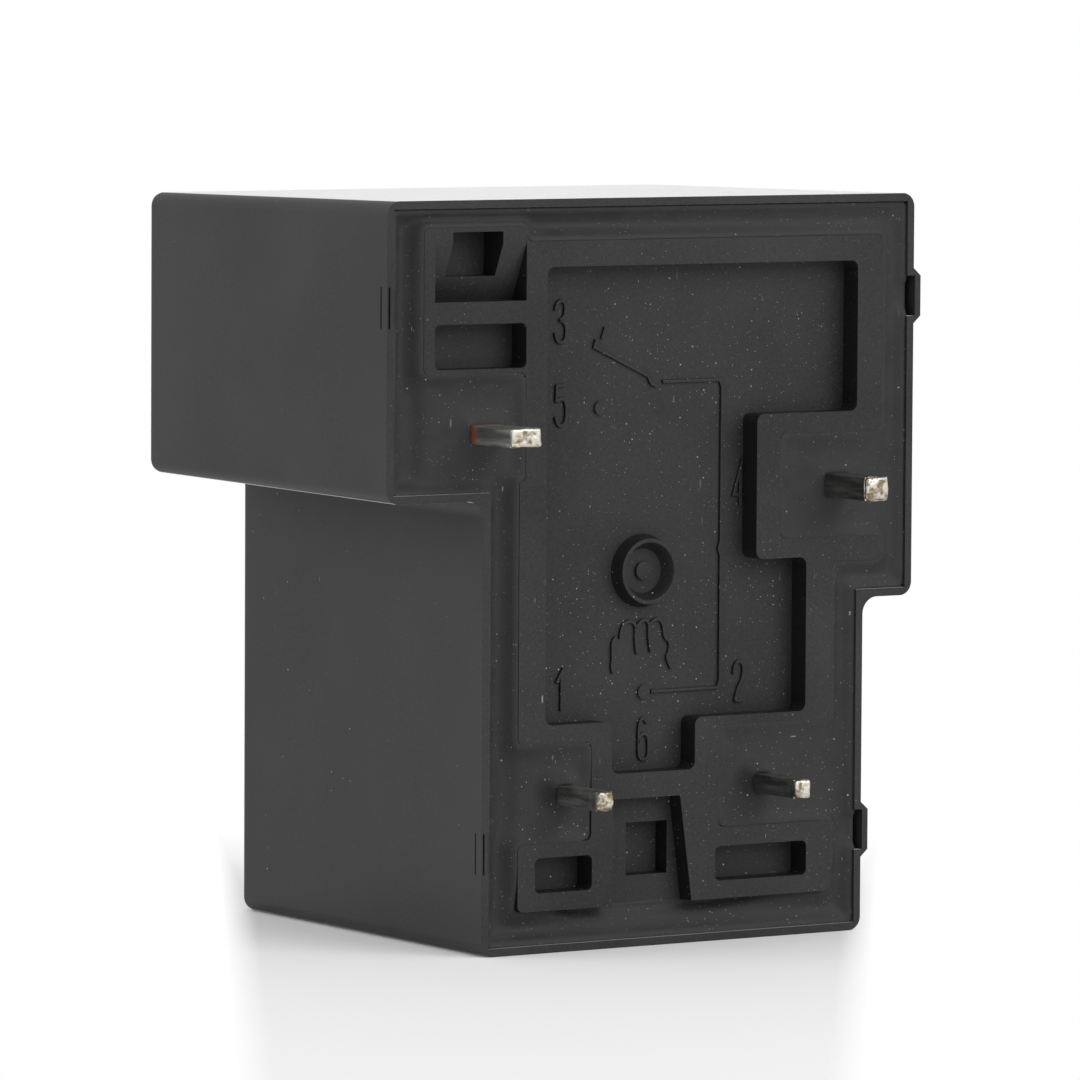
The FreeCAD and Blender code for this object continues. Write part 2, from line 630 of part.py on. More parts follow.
def catch_bulge(low):
    """The swelling of the right wall outside a catch, sloped at its ends and its back."""
    outer = catch_sides(low)[1]
    crown = f"{outer} + catch_bulge"
    profile = [
        (f"{outer} - wall / 2", low), (outer, low), (crown, f"{low} + catch_chamfer"),
        (crown, f"{low} + catch_length - catch_chamfer"), (outer, f"{low} + catch_length"),
        (f"{outer} - wall / 2", f"{low} + catch_length"),
    ]
    body = new_body("bulge_" + low)
    back = "rim_y + catch_depth + catch_skin"
    pad(body, "swelling_" + low, profile, "rim_y", back)
    place = Vector(number(crown), number(back), 0)
    chamfer(body, "slope_" + low, "catch_bulge", corner_test([place], ALONG_Z, 0.01))
    return body


def case_hollow():
    """The space inside the case: cavity, rebate for the base, catch pockets and seams."""
    body = new_body("case_hollow")
    front = f"rim_y - {PAST}"
    pad(body, "cavity", case_outline("wall"), front, "far_y - wall")
    pad(body, "rebate", case_outline("rim_lip"), front, "flange_front")
    for low in CATCHES:
        left, right = catch_sides(low)
        ends = f"{low} + catch_chamfer", f"{low} + catch_length - catch_chamfer"
        left_span = f"{left} + catch_skin", f"{left} + wall + {PAST}"
        right_span = f"{right} - wall - {PAST}", f"{right} + catch_bulge - catch_skin"
        pad(body, "left_" + low, rectangle(*left_span, *ends), front, "rim_y + catch_depth")
        pad(body, "right_" + low, rectangle(*right_span, *ends), front, "rim_y + catch_depth")
        side_seam = rectangle(f"{left} - {PAST}", f"{left} + seam_depth", *ends)
        pad(body, "side_seam_" + low, side_seam, "rim_y + hook_depth", "rim_y + hook_depth + seam_width")
        rim_seam = rectangle(f"{left} + hook_thick", f"{left} + hook_thick + seam_width", *ends)
        pad(body, "rim_seam_" + low, rim_seam, front, "rim_y + seam_depth")
    return body


def make_cover():
    """Moulded case: block and catch swellings less the hollow inside."""
    outside = fuse("case_outside", [case_block()] + [catch_bulge(low) for low in CATCHES])
    return cut("cover", outside, case_hollow())


def platform_outline():
    """The base's raised face, with the wells of the four pins let in."""
    return [
        ("platform_left", "well_five_top"), ("platform_left", "wing_top"),
        ("well_five_right", "wing_top"), ("well_five_right", "platform_top"),
        ("platform_right", "platform_top"), ("platform_right", "well_four_top"),
        ("well_four_left", "well_four_top"), ("well_four_left", "well_four_low"),
        ("platform_right", "well_four_low"), ("platform_right", "right_shoulder + gutter_right"),
        ("platform_waist", "right_shoulder + gutter_right"), ("platform_waist", "well_two_top"),
        ("well_two_left", "well_two_top"), ("well_two_left", "well_two_low"),
        ("platform_waist", "well_two_low"), ("platform_waist", "gutter_end"),
        ("platform_inner_left", "gutter_end"), ("platform_inner_left", "well_one_low"),
        ("well_one_right", "well_one_low"), ("well_one_right", "well_one_top"),
        ("platform_inner_left", "well_one_top"), ("platform_inner_left", "well_five_low"),
        ("well_five_right", "well_five_low"), ("well_five_right", "well_five_top"),
    ]


def raised_block(body, name, start, end):
    """The prism of the raised face, with its corners rounded."""
    pad(body, name, platform_outline(), start, end)
    corners = [Vector(number(a), 0, number(b)) for a, b in platform_outline()]
    low = number("well_five_low")
    jog = [corner for corner in corners if abs(corner.z - low) < 0.001]
    wide = [corner for corner in corners if corner not in jog]
    fillet(body, name + "_corners", "platform_radius", corner_test(wide, ALONG_Y, 0.05))
    fillet(body, name + "_jog", "jog_radius", corner_test(jog, ALONG_Y, 0.05))


def recess_outline():
    return [
        ("recess_left", "recess_top"), ("recess_right", "recess_top"),
        ("recess_right", "recess_waist_top"), ("recess_waist", "recess_waist_top"),
        ("recess_waist", "recess_waist_low"), ("recess_hip", "recess_waist_low"),
        ("recess_hip", "recess_low"), ("recess_foot_right", "recess_low"),
        ("recess_foot_right", "recess_foot_low"), ("recess_foot_left", "recess_foot_low"),
        ("recess_foot_left", "recess_low"), ("recess_left", "recess_low"),
    ]


def notch_outline():
    """The open notch at the narrow end, wider towards the gutter."""
    low = f"gutter_end - {PAST}"
    return [("notch_left", low), ("notch_right_low", low), ("notch_right_top", "notch_top"),
            ("notch_left", "notch_top")]


def slots():
    """The blind slots and pockets in the raised face: name, outline, floor."""
    low_slots = "low_slots_low", "low_slots_top"
    return (
        ("left_slot", rectangle("left_slot_left", "well_five_right", "left_slot_low", "left_slot_top"),
         "slot_floor"),
        ("low_slot", rectangle("low_slot_left", "low_slot_right", *low_slots), "slot_floor"),
        ("right_slot", rectangle("right_slot_left", "right_slot_right", *low_slots), "slot_floor"),
        ("ramp_pocket", rectangle("left_pocket_left", "left_pocket_right", "left_pocket_low",
                                  "left_pocket_top"), "rim_y + left_pocket_floor"),
        ("notch_pocket", rectangle("notch_pocket_left", "notch_pocket_right", "notch_pocket_low",
                                   "notch_pocket_top"), "rim_y + notch_pocket_floor"),
    )


def lugs(body):
    """The base's four lugs that snap into the case's catch pockets."""
    ends = "flange_front + catch_play", "rim_y + catch_depth - catch_play"
    for low in CATCHES:
        left, right = catch_sides(low)
        slope = "(catch_chamfer + catch_play)"
        span = f"{low} + {slope}", f"{low} + catch_length - {slope}"
        root = f"wall + fit_gap + {PAST}"
        left_span = f"{left} + catch_skin + catch_play", f"{left} + {root}"
        right_span = f"{right} - ({root})", f"{right} + catch_bulge - catch_skin - catch_play"
        pad(body, "left_lug_" + low, rectangle(*left_span, *span), *ends)
        pad(body, "right_lug_" + low, rectangle(*right_span, *span), *ends)


def socket(body, name, x_span, z_span):
    """A blind opening in the base's inner face, wider than what it holds by the fit."""
    points = rectangle(*wider(x_span, "fit_gap"), *wider(z_span, "fit_gap"))
    pocket(body, name, points, "socket_floor", f"flange_back + {PAST}")


def make_base():
    """Moulded base: flange, raised face, recess with vent boss, slots and sockets."""
    body = new_body("base")
    raised_block(body, "platform", "platform_y", "flange_front")
    pad(body, "flange", case_outline("(wall + fit_gap)"), "flange_front", "flange_back")
    lugs(body)
    pocket(body, "recess", recess_outline(), "platform_y", "rim_y + recess_floor")
    floor = number("rim_y + recess_floor")
    corners = [Vector(number(a), 0, number(b)) for a, b in recess_outline()]
    fillet(body, "recess_corners", "recess_radius",
           lambda edge: corner_test(corners, ALONG_Y)(edge) and edge.BoundBox.YMax < floor + 0.01)
    pocket(body, "notch", notch_outline(), "platform_y", "rim_y + notch_floor")
    ramp(body)
    for name, points, level in slots():
        pocket(body, name, points, "platform_y", level)
        if level == "slot_floor":
            corners = [Vector(number(a), 0, number(b)) for a, b in points]
            fillet(body, name + "_corners", "slot_radius", corner_test(corners, ALONG_Y, 0.05))
    vent_boss(body)
    for pin in PINS:
        pocket(body, pin[0] + "_hole", pin_section(pin, "fit_gap"), f"flange_front - {PAST}",
               f"flange_back + {PAST}")
    socket(body, "terminal_slit", ("terminal_left", "terminal_right"), ("terminal_low", "terminal_top"))
    socket(body, "stop_slit", ("stop_left", "stop_right"), ("stop_low", "stop_low + stop_thick"))
    for name, x_span, z_span in yoke_tabs():
        socket(body, name + "_socket", x_span, z_span)
    return body


def ramp(body):
    """The sloped recess in the left wing, as a wedge taken away along X."""
    before = body.Tip.Shape.Volume
    front = f"platform_y - {PAST}"
    wedge = [(front, "ramp_low"), ("slot_floor", "ramp_low"), ("platform_y", "ramp_top"),
             (front, "ramp_top")]
    feature = body.newObject("PartDesign::Pocket", "ramp")
    feature.Profile = outline(body, "YZ_Plane", "ramp_outline", wedge, "left_slot_left")
    bind(feature, "Length", "well_five_right - left_slot_left")
    feature.Reversed = True
    built(feature)
    if not feature.Shape.Volume < before:
        raise RuntimeError("ramp takes nothing away")


def vent_boss(body):
    """The dished ring in the recess, turned about its own axis, with a small pip."""
    sketch = body.newObject("Sketcher::SketchObject", "boss_profile")
    sketch.AttachmentSupport = [(origin_plane(body, "XY_Plane"), "")]
    sketch.MapMode = "FlatFace"
    bind(sketch, "AttachmentOffset.Base.x", "boss_x")
    bind(sketch, "AttachmentOffset.Base.y", "rim_y + recess_floor")
    bind(sketch, "AttachmentOffset.Base.z", "boss_z")
    draw(sketch, [
        ("0", str(PAST)), ("boss_base_radius", str(PAST)), ("boss_base_radius", "0"),
        ("boss_top_radius", "-boss_height"), ("boss_mouth_radius", "-boss_height"),
        ("boss_dish_radius", "-boss_floor"), ("pip_radius", "-boss_floor"),
        ("pip_radius", "-boss_floor - pip_height"), ("0", "-boss_floor - pip_height"),
    ])
    ring = body.newObject("PartDesign::Revolution", "boss")
    ring.Profile = sketch
    ring.ReferenceAxis = (sketch, ["V_Axis"])
    ring.Angle = 360
    built(ring)


def yoke_tabs():
    """Two tabs that seat the yoke in the base: name, x span, z span."""
    return (
        ("leg_tab", ("leg_inner", "leg_outer"), ("leg_tab_low", "leg_tab_top")),
        ("foot_tab", ("foot_tab_left", "foot_tab_right"), ("yoke_foot_low", "foot_top")),
    )


def make_resin():
    """Sealing resin: poured in the gutter round the base and in the pin wells."""
    body = new_body("resin_pool")
    pad(body, "pool", case_outline("rim_lip"), "rim_y + gutter_level", "flange_front")
    wells = (
        ("well_5", rectangle("platform_left", "well_five_right", "well_five_low", "well_five_top")),
        ("well_1", rectangle("platform_inner_left", "well_one_right", "well_one_low", "well_one_top")),
        ("well_4", rectangle("well_four_left", "platform_right", "well_four_low", "well_four_top")),
        ("well_2", rectangle("well_two_left", "platform_waist", "well_two_low", "well_two_top")),
    )
    for name, points in wells:
        pad(body, name, points, "rim_y + well_level", f"rim_y + gutter_level + {PAST}")
    reach = f"platform_y - {PAST}", f"flange_front + {PAST}"
    for pin in PINS:
        pocket(body, pin[0], pin_section(pin), *reach)
    hole = new_body("platform_hole")
    raised_block(hole, "hole", *reach)
    return cut("sealing_resin", body, hole)


def turned(name, points, x, y):
    """A solid turned about a line along Z: radius and height formulas."""
    body = new_body(name)
    sketch = outline(body, "XZ_Plane", name + "_profile", points, f"-({y})")
    bind(sketch, "AttachmentOffset.Base.x", x)
    feature = body.newObject("PartDesign::Revolution", name + "_turned")
    feature.Profile = sketch
    feature.ReferenceAxis = (sketch, ["V_Axis"])
    feature.Angle = 360
    built(feature)
    return body


def cylinder(body, kind, name, radius, low, high, place, role="XY_Plane"):
    """A round feature of a body along Z, or along X on the YZ plane."""
    rod = body.newObject("PartDesign::" + kind, name)
    bind(rod, "Radius", radius)
    bind(rod, "Height", f"({high}) - ({low})")
    rod.AttachmentSupport = [(origin_plane(body, role), "")]
    rod.MapMode = "FlatFace"
    bind(rod, "AttachmentOffset.Base.x", place[0])
    bind(rod, "AttachmentOffset.Base.y", place[1])
    bind(rod, "AttachmentOffset.Base.z", low)
    return built(rod)


def drill(body, name, radius, low, high, place, role="XY_Plane"):
    """A round hole through a body, opened past both faces."""
    ends = wider((low, high), PAST)
    cylinder(body, "SubtractiveCylinder", name, radius + " + bore_gap", *ends, place, role)


def rivet_places(name):
    """The two rivets of a pair: name and place along the depth."""
    return ((name + "_a", "motor_y - rivet_pitch / 2"), (name + "_b", "motor_y + rivet_pitch / 2"))


def make_bobbin():
    """Bobbin: tube, two square flanges and a post for each coil pin."""
    body = new_body("bobbin")
    square = rectangle(*around("0", "bobbin_wide"), *around("motor_y", "bobbin_deep"))
    pad(body, "low_flange", square, "foot_top", "foot_top + bobbin_flange", "XY_Plane")
    pad(body, "top_flange", square, "pole_low - bobbin_flange", "pole_low", "XY_Plane")
    corners = [Vector(number(a), number(b), 0) for a, b in square]
    fillet(body, "flange_corners", "bobbin_round", corner_test(corners, ALONG_Z))
    cylinder(body, "AdditiveCylinder", "tube", "tube_radius", "foot_top", "pole_low", ("0", "motor_y"))
    post_top = "coil_pin_height + coil_pin_side / 2 + post_cap"
    for pin in PINS[:2]:
        name, x = pin[0], pin[1]
        post = rectangle(*around(x, "post_width"), "foot_top", post_top)
        pad(body, name + "_post", post, "post_front", "post_back")
        pocket(body, name + "_hole", pin_section(pin), f"post_front - {PAST}", "post_back - post_skin")
    cylinder(body, "SubtractiveCylinder", "bore", "core_radius + fit_gap", f"foot_top - {PAST}",
             f"pole_low + {PAST}", ("0", "motor_y"))
    return body


def make_winding():
    points = rectangle("tube_radius + bore_gap", "winding_radius", "winding_low", "winding_top")
    return turned("coil_winding", points, "0", "motor_y")


def make_tape():
    """The insulating tape round the winding."""
    points = rectangle("winding_radius + bore_gap", "tape_radius", "winding_low + tape_inset",
                       "winding_top - tape_inset")
    return turned("coil_tape", points, "0", "motor_y")


def make_core():
    """Core: tenon in the yoke, shank in the bobbin and the pole face."""
    return turned("core", [
        ("0", "yoke_foot_low"), ("tenon_radius", "yoke_foot_low"), ("tenon_radius", "foot_top"),
        ("core_radius", "foot_top"), ("core_radius", "pole_low"), ("pole_radius", "pole_low"),
        ("pole_radius", "pole_height - pole_chamfer"), ("pole_radius - pole_chamfer", "pole_height"),
        ("0", "pole_height"),
    ], "0", "motor_y")


def make_yoke():
    """Yoke: a bent plate under the coil and up its right side, with two tabs."""
    body = new_body("yoke")
    front = "motor_y - yoke_width / 2"
    profile = [
        ("-yoke_foot_reach", "yoke_foot_low"), ("leg_outer", "yoke_foot_low"), ("leg_outer", "pole_height"),
        ("leg_inner", "pole_height"), ("leg_inner", "foot_top"), ("-yoke_foot_reach", "foot_top"),
    ]
    pad(body, "bent_plate", profile, front, "motor_y + yoke_width / 2")
    inner = Vector(number("leg_inner"), 0, number("foot_top"))
    outer = Vector(number("leg_outer"), 0, number("yoke_foot_low"))
    fillet(body, "inner_bend", "yoke_bend", corner_test([inner], ALONG_Y))
    fillet(body, "outer_bend", "yoke_bend + yoke_thick", corner_test([outer], ALONG_Y))
    for name, x_span, z_span in yoke_tabs():
        pad(body, name, rectangle(*x_span, *z_span), "socket_seat", f"{front} + {PAST}")
    drill(body, "tenon_hole", "tenon_radius", "yoke_foot_low", "foot_top", ("0", "motor_y"))
    for name, y in rivet_places("rivet_hole"):
        drill(body, name, "rivet_radius", "leg_inner", "leg_outer", (y, "yoke_rivet_height"), "YZ_Plane")
    return body


def tilt(thing):
    """Turn a piece that was made lying flat to where it rests with the coil off."""
    pivot = Vector(number("leg_outer"), 0, number("pole_height"))
    turn = Placement(Vector(0, 0, 0), Rotation(ALONG_Y, number("rest_angle")), pivot)
    thing.Placement = turn.multiply(thing.Placement)
    doc.recompute()
    return thing


def tilted(x, z):
    """The formulas of a flat-lying point after the armature's tilt."""
    across, up = f"(({x}) - leg_outer)", f"(({z}) - pole_height)"
    return (f"leg_outer + {across} * tilt_cos + {up} * tilt_sin",
            f"pole_height - {across} * tilt_sin + {up} * tilt_cos")


def tilted_height(x, z):
    """The height at a place across of what lay flat at a level before the tilt."""
    fall = f"(({x}) - leg_outer) * tilt_sin / tilt_cos"
    return f"pole_height - {fall} + (({z}) - pole_height) / tilt_cos"


def make_armature():
    """Armature: a plate on the pole face, tapered at its free end, with two rivet holes."""
    body = new_body("armature")
    hinge, nose = "leg_outer - hinge_gap", "armature_nose - armature_reach"
    front, back = around("motor_y", "armature_width")
    pad(body, "plate", [
        ("-armature_reach", f"{front} + armature_taper"), (nose, front), (hinge, front), (hinge, back),
        (nose, back), ("-armature_reach", f"{back} - armature_taper"),
    ], "armature_low", "armature_top", "XY_Plane")
    for name, y in rivet_places("armature_hole"):
        drill(body, name, "rivet_radius", "armature_low", "armature_top", ("armature_rivet_x", y))
    return tilt(body)


def make_spring():
    """Contact spring: foot on the yoke, bowed bend, and blade on the armature."""
    body = new_body("spring_strip")
    half = "spring_thick / 2"
    inner, outer = f"bow_x - {half}", f"bow_x + {half}"
    knee = "spring_leave + spring_bow"
    profile = [
        (f"spring_mid - {half}", "spring_foot"), (f"spring_mid + {half}", "spring_foot"),
        (f"spring_mid + {half}", f"spring_leave - {half} * mitre"), (outer, f"{knee} - {half} * mitre"),
        (outer, tilted_height(outer, "spring_top")), tilted("spring_tip_x", "spring_top"),
        tilted("spring_tip_x", "spring_low"), (inner, tilted_height(inner, "spring_low")),
        (inner, f"{knee} + {half} * mitre"), (f"spring_mid - {half}", f"spring_leave + {half} * mitre"),
    ]
    pad(body, "strip", profile, *around("motor_y", "spring_width"))
    over_hinge = [Vector(number(a), 0, number(b)) for a, b in (profile[4], profile[7])]
    fillet(body, "inner_bend", "spring_bend", corner_test(over_hinge[1:], ALONG_Y, 0.05))
    fillet(body, "outer_bend", "spring_bend + spring_thick", corner_test(over_hinge[:1], ALONG_Y, 0.05))
    for name, side in (("front_taper", "-"), ("back_taper", "+")):
        wide, slim = f"motor_y {side} spring_width", f"motor_y {side} spring_tip_width / 2"
        tip = f"spring_tip_x - {PAST}"
        points = [(tip, slim), ("-armature_reach", slim), ("spring_width - armature_reach", wide),
                  (tip, wide)]
        pocket(body, name, points, "pole_height", "case_length", "XY_Plane")
    for name, y in rivet_places("foot_hole"):
        drill(body, name, "rivet_radius", "leg_outer", "tongue_inner", (y, "yoke_rivet_height"), "YZ_Plane")
    return cut("contact_spring", body, blade_bores())


def blade_bores():
    """What the contact and the armature rivets take out of the tilted blade."""
    ends = f"spring_low - {PAST}", f"spring_top + {PAST}"
    bores = [upright("contact_bore", "contact_shank + bore_gap", "contact_x", "motor_y", *ends)]
    for name, y in rivet_places("blade_bore"):
        bores.append(upright(name, "rivet_radius + bore_gap", "armature_rivet_x", y, *ends))
    return tilt(fuse("blade_bores", bores))


def rivet(maker, name, low, high, heads, place):
    """A rivet along an axis: its shank and a head over each outer face."""
    under, over = heads
    return [
        maker(name, "rivet_radius", *place(f"{low} - {under}", f"{high} + {over}")),
        maker(name + "_under", "rivet_head_radius", *place(f"{low} - {under}", low)),
        maker(name + "_over", "rivet_head_radius", *place(high, f"{high} + {over}")),
    ]


def make_armature_rivets():
    """Two rivets through armature and spring."""
    parts = []
    for name, y in rivet_places("armature_rivet"):
        parts += rivet(upright, name, "armature_low", "spring_top", ("rivet_head", "rivet_head"),
                       lambda low, high, y=y: ("armature_rivet_x", y, low, high))
    return tilt(fuse("armature_rivets", parts))


def make_yoke_rivets():
    """Two rivets through yoke, spring foot and terminal 4."""
    parts = []
    for name, y in rivet_places("yoke_rivet"):
        parts += rivet(crosswise, name, "leg_inner", "tongue_outer", ("rivet_inner_head", "rivet_head"),
                       lambda low, high, y=y: (low, high, y, "yoke_rivet_height"))
    return fuse("yoke_rivets", parts)


def make_moving_contact():
    """Contact rivet under the blade, its face domed, its tail riveted above."""
    face, lip = "fixed_face + air_gap", "contact_shank + contact_lip"
    return tilt(turned("moving_contact", [
        ("0", face), ("contact_radius - contact_edge", f"{face} + contact_dome"),
        ("contact_radius", f"{face} + contact_dome + contact_edge"), ("contact_radius", "spring_low"),
        ("contact_shank", "spring_low"), ("contact_shank", "spring_top"), (lip, "spring_top"),
        (lip, "spring_top + contact_tail"), ("0", "spring_top + contact_tail"),
    ], "contact_x", "motor_y"))


def make_fixed_contact():
    """Contact rivet on terminal 5, a little wider than the moving one."""
    lip, radius = "contact_shank + contact_lip", "contact_radius + fixed_oversize"
    return turned("fixed_contact", [
        ("0", "terminal_low - contact_tail"), (lip, "terminal_low - contact_tail"), (lip, "terminal_low"),
        ("contact_shank", "terminal_low"), ("contact_shank", "terminal_top"), (radius, "terminal_top"),
        (radius, "fixed_face - contact_dome - contact_edge"),
        (f"{radius} - contact_edge", "fixed_face - contact_dome"), ("0", "fixed_face"),
    ], "contact_x", "motor_y")


def make_open_terminal():
    """Terminal 5: pin, stem and plate, blanked from one strip."""
    body = new_body("open_terminal")
    left, right = around("open_pin_x", "open_pin_width")
    pad(body, "blank", [
        (left, "pin_tip"), (right, "pin_tip"), (right, "socket_seat"), ("terminal_right", "socket_seat"),
        ("terminal_right", "rim_y + terminal_end"), ("terminal_left", "rim_y + terminal_end"),
        ("terminal_left", "socket_seat"), (left, "socket_seat"),
    ], "terminal_low", "terminal_top", "XY_Plane")
    chamfer(body, "open_pin_point", "pin_point", at_tip)
    drill(body, "contact_hole", "contact_shank", "terminal_low", "terminal_top", ("contact_x", "motor_y"))
    return body


def make_common_terminal():
    """Terminal 4: pin with a tongue riveted to the yoke."""
    body = new_body("common_terminal")
    yoke_front = "motor_y - yoke_width / 2"
    pad(body, "common_pin", pin_section(PINS[3]), "pin_tip", f"{yoke_front} - tongue_lap / 2")
    chamfer(body, "common_pin_point", "pin_point", at_tip)
    tongue = rectangle("tongue_inner", "tongue_outer", "spring_foot", "spring_leave - tongue_trim")
    ends = f"{yoke_front} - 1.5 * tongue_lap", "motor_y + rivet_pitch / 2 + tongue_margin"
    pad(body, "tongue", tongue, *ends)
    for name, y in rivet_places("tongue_hole"):
        place = y, "yoke_rivet_height"
        drill(body, name, "rivet_radius", "tongue_inner", "tongue_outer", place, "YZ_Plane")
    return body


def make_coil_pin(name, pin):
    """Square coil pin from its chamfered tip to its post on the bobbin."""
    body = new_body(name)
    pad(body, name + "_bar", pin_section(pin), "pin_tip", "post_back - post_skin")
    chamfer(body, name + "_point", "pin_point", at_tip)
    return body


def make_solder():
    """Solder round both coil pins where the coil's leads are wrapped."""
    beads = []
    for pin in PINS[:2]:
        name, x = pin[0], pin[1]
        bead = doc.addObject("Part::Cylinder", name + "_bead")
        bead.Placement = Placement(Vector(0, 0, 0), Rotation(ALONG_X, -90))
        bind(bead, "Radius", "solder_radius")
        bind(bead, "Height", "solder_length")
        for axis, place in zip("xyz", (x, "solder_y", "coil_pin_height")):
            bind(bead, f"Placement.Base.{axis}", place)
        hole = box(name + "_bead_hole", around(x, "coil_pin_side"),
                   wider(("solder_y", "solder_y + solder_length"), PAST),
                   around("coil_pin_height", "coil_pin_side"))
        beads.append(cut(name + "_bead_ring", bead, hole))
    return fuse("coil_solder", beads)


def make_lead(name, pin):
    """Coil lead: up from the solder on a pin, then straight to the winding."""
    axis_y = number("motor_y")
    middle_y, top_z = "solder_y + solder_length / 2", "coil_pin_height + solder_radius"
    start = Vector(number(pin[1]), number(middle_y), number(top_z))
    bend = start + Vector(0, 0, number("lead_rise"))
    outward = Vector(bend.x, bend.y - axis_y, 0).normalize()
    end = Vector(0, axis_y, bend.z) + outward * number("tape_radius + bore_gap")
    ring = Part.Wire(Part.makeCircle(number("lead_radius"), start, ALONG_Z))
    lead = doc.addObject("Part::Feature", name)
    lead.Shape = rounded_path([start, bend, end], number("lead_bend")).makePipeShell([ring], True, False)
    return lead


def rounded_path(points, radius):
    """A wire through points with an arc at each inner one."""
    edges, last = [], points[0]
    for before, corner, after in zip(points, points[1:], points[2:]):
        back, ahead = (before - corner).normalize(), (after - corner).normalize()
        half = back.getAngle(ahead) / 2
        reach = radius / math.tan(half)
        enter, leave = corner + back * reach, corner + ahead * reach
        centre = corner + (back + ahead).normalize() * (radius / math.sin(half))
        middle = centre + (corner - centre).normalize() * radius
        edges.append(Part.LineSegment(last, enter).toShape())
        edges.append(Part.Arc(enter, middle, leave).toShape())
        last = leave
    edges.append(Part.LineSegment(last, points[-1]).toShape())
    return Part.Wire(edges)


def make_backstop():
    """Backstop: a plate held in the base over the free end of the spring."""
    return box("backstop", ("stop_left", "stop_right"),
               ("socket_seat", "motor_y + spring_tip_width / 2"),
               ("stop_low", "stop_low + stop_thick"))


def make_pieces():
    """Every piece of the relay by its node's name."""
    return {
        "cover": make_cover(),
        "base": make_base(),
        "sealing_resin": make_resin(),
        "bobbin": make_bobbin(),
        "coil_winding": make_winding(),
        "coil_tape": make_tape(),
        "core": make_core(),
        "yoke": make_yoke(),
        "armature": make_armature(),
        "contact_spring": make_spring(),
        "armature_rivets": make_armature_rivets(),
        "yoke_rivets": make_yoke_rivets(),
        "moving_contact": make_moving_contact(),
        "fixed_contact": make_fixed_contact(),
        "open_terminal": make_open_terminal(),
        "common_terminal": make_common_terminal(),
        "coil_pin_1": make_coil_pin("coil_pin_1", PINS[0]),
        "coil_pin_2": make_coil_pin("coil_pin_2", PINS[1]),
        "coil_solder": make_solder(),
        "coil_lead_1": make_lead("coil_lead_1", PINS[0]),
        "coil_lead_2": make_lead("coil_lead_2", PINS[1]),
        "backstop": make_backstop(),
    }


def check(pieces):
    """Stop if any object failed or any piece isn't a valid shape."""
    for thing in doc.Objects:
        if "Invalid" in thing.State or "Error" in thing.State:
            raise RuntimeError(thing.Name + " has failed")
    for name, piece in pieces.items():
        shape = piece.Shape
        if shape.isNull() or not shape.isValid() or not shape.Solids:
            raise RuntimeError(name + " has no valid solid")


def write(pieces):
    """One STEP file for each piece, named after its node."""
    os.makedirs("parts", exist_ok=True)
    for name, piece in pieces.items():
        piece.Label = name
        piece.Shape.exportStep(f"parts/{name}.step")
        print(name, len(piece.Shape.Solids), round(piece.Shape.Volume, 3))


fill_sheet()
made = make_pieces()
doc.recompute()
check(made)
write(made)
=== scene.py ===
import math

import bmesh
import bpy
from bpy.props import FloatProperty, FloatVectorProperty, IntProperty, PointerProperty
from mathutils import Matrix, Vector, noise
from mathutils.bvhtree import BVHTree


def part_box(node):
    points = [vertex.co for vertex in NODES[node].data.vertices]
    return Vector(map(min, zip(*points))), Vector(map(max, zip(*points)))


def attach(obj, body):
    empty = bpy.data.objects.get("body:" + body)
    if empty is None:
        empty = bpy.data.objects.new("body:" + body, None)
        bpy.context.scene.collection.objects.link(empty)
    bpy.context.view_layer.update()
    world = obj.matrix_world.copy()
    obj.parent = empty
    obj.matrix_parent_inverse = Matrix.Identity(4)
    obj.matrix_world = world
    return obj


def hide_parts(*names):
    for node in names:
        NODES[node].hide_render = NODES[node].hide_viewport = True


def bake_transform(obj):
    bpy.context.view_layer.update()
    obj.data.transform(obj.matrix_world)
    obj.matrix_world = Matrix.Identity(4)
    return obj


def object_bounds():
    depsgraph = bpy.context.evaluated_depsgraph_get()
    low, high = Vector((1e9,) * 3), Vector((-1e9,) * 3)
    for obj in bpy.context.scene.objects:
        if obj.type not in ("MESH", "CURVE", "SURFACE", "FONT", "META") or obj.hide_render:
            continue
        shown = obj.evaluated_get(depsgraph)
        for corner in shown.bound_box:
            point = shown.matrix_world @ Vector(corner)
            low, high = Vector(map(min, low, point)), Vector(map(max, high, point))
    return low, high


bl_info = {
    "name": "Automotive relay",
    "version": (1, 0, 0),
    "blender": (4, 5, 0),
    "location": "3D View > Sidebar > Relay",
    "description": "Finishes, poured resin, marks, tinned pins, dust and stage of a sealed relay",
    "category": "Object",
}

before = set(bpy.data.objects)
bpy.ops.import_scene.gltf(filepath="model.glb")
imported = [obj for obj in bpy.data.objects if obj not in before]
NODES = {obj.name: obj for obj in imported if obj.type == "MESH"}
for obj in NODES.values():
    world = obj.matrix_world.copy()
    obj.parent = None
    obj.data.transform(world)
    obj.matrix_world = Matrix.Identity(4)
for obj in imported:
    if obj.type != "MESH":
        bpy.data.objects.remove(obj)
CAD_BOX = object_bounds()
MM = 0.001
HOUSING = "housing"

PIN_SIDE = CAD_BOX[0][1]
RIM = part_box("cover")[0][1]
COIL_PINS = ("coil_pin_1", "coil_pin_2")
TAPS = (*COIL_PINS, "common_terminal", "open_terminal")
# Points nearer to each other than this are one point
SAME = 0.001 * MM


# Sizes and colours that a user would change


def length(name, text, millimetres):
    """A property for a small length, stored in metres."""
    return FloatProperty(name=name, description=text, default=millimetres * MM, min=0.0,
                         precision=6, subtype="DISTANCE", unit="LENGTH")


def share(name, text, value, top=1.0):
    """A property for a plain number from 0."""
    return FloatProperty(name=name, description=text, default=value, min=0.0, max=top, precision=4)


def colour(name, text, value):
    """A property for a linear colour."""
    return FloatVectorProperty(name=name, description=text, default=value, min=0.0, max=1.0,
                               size=3, subtype="COLOR")


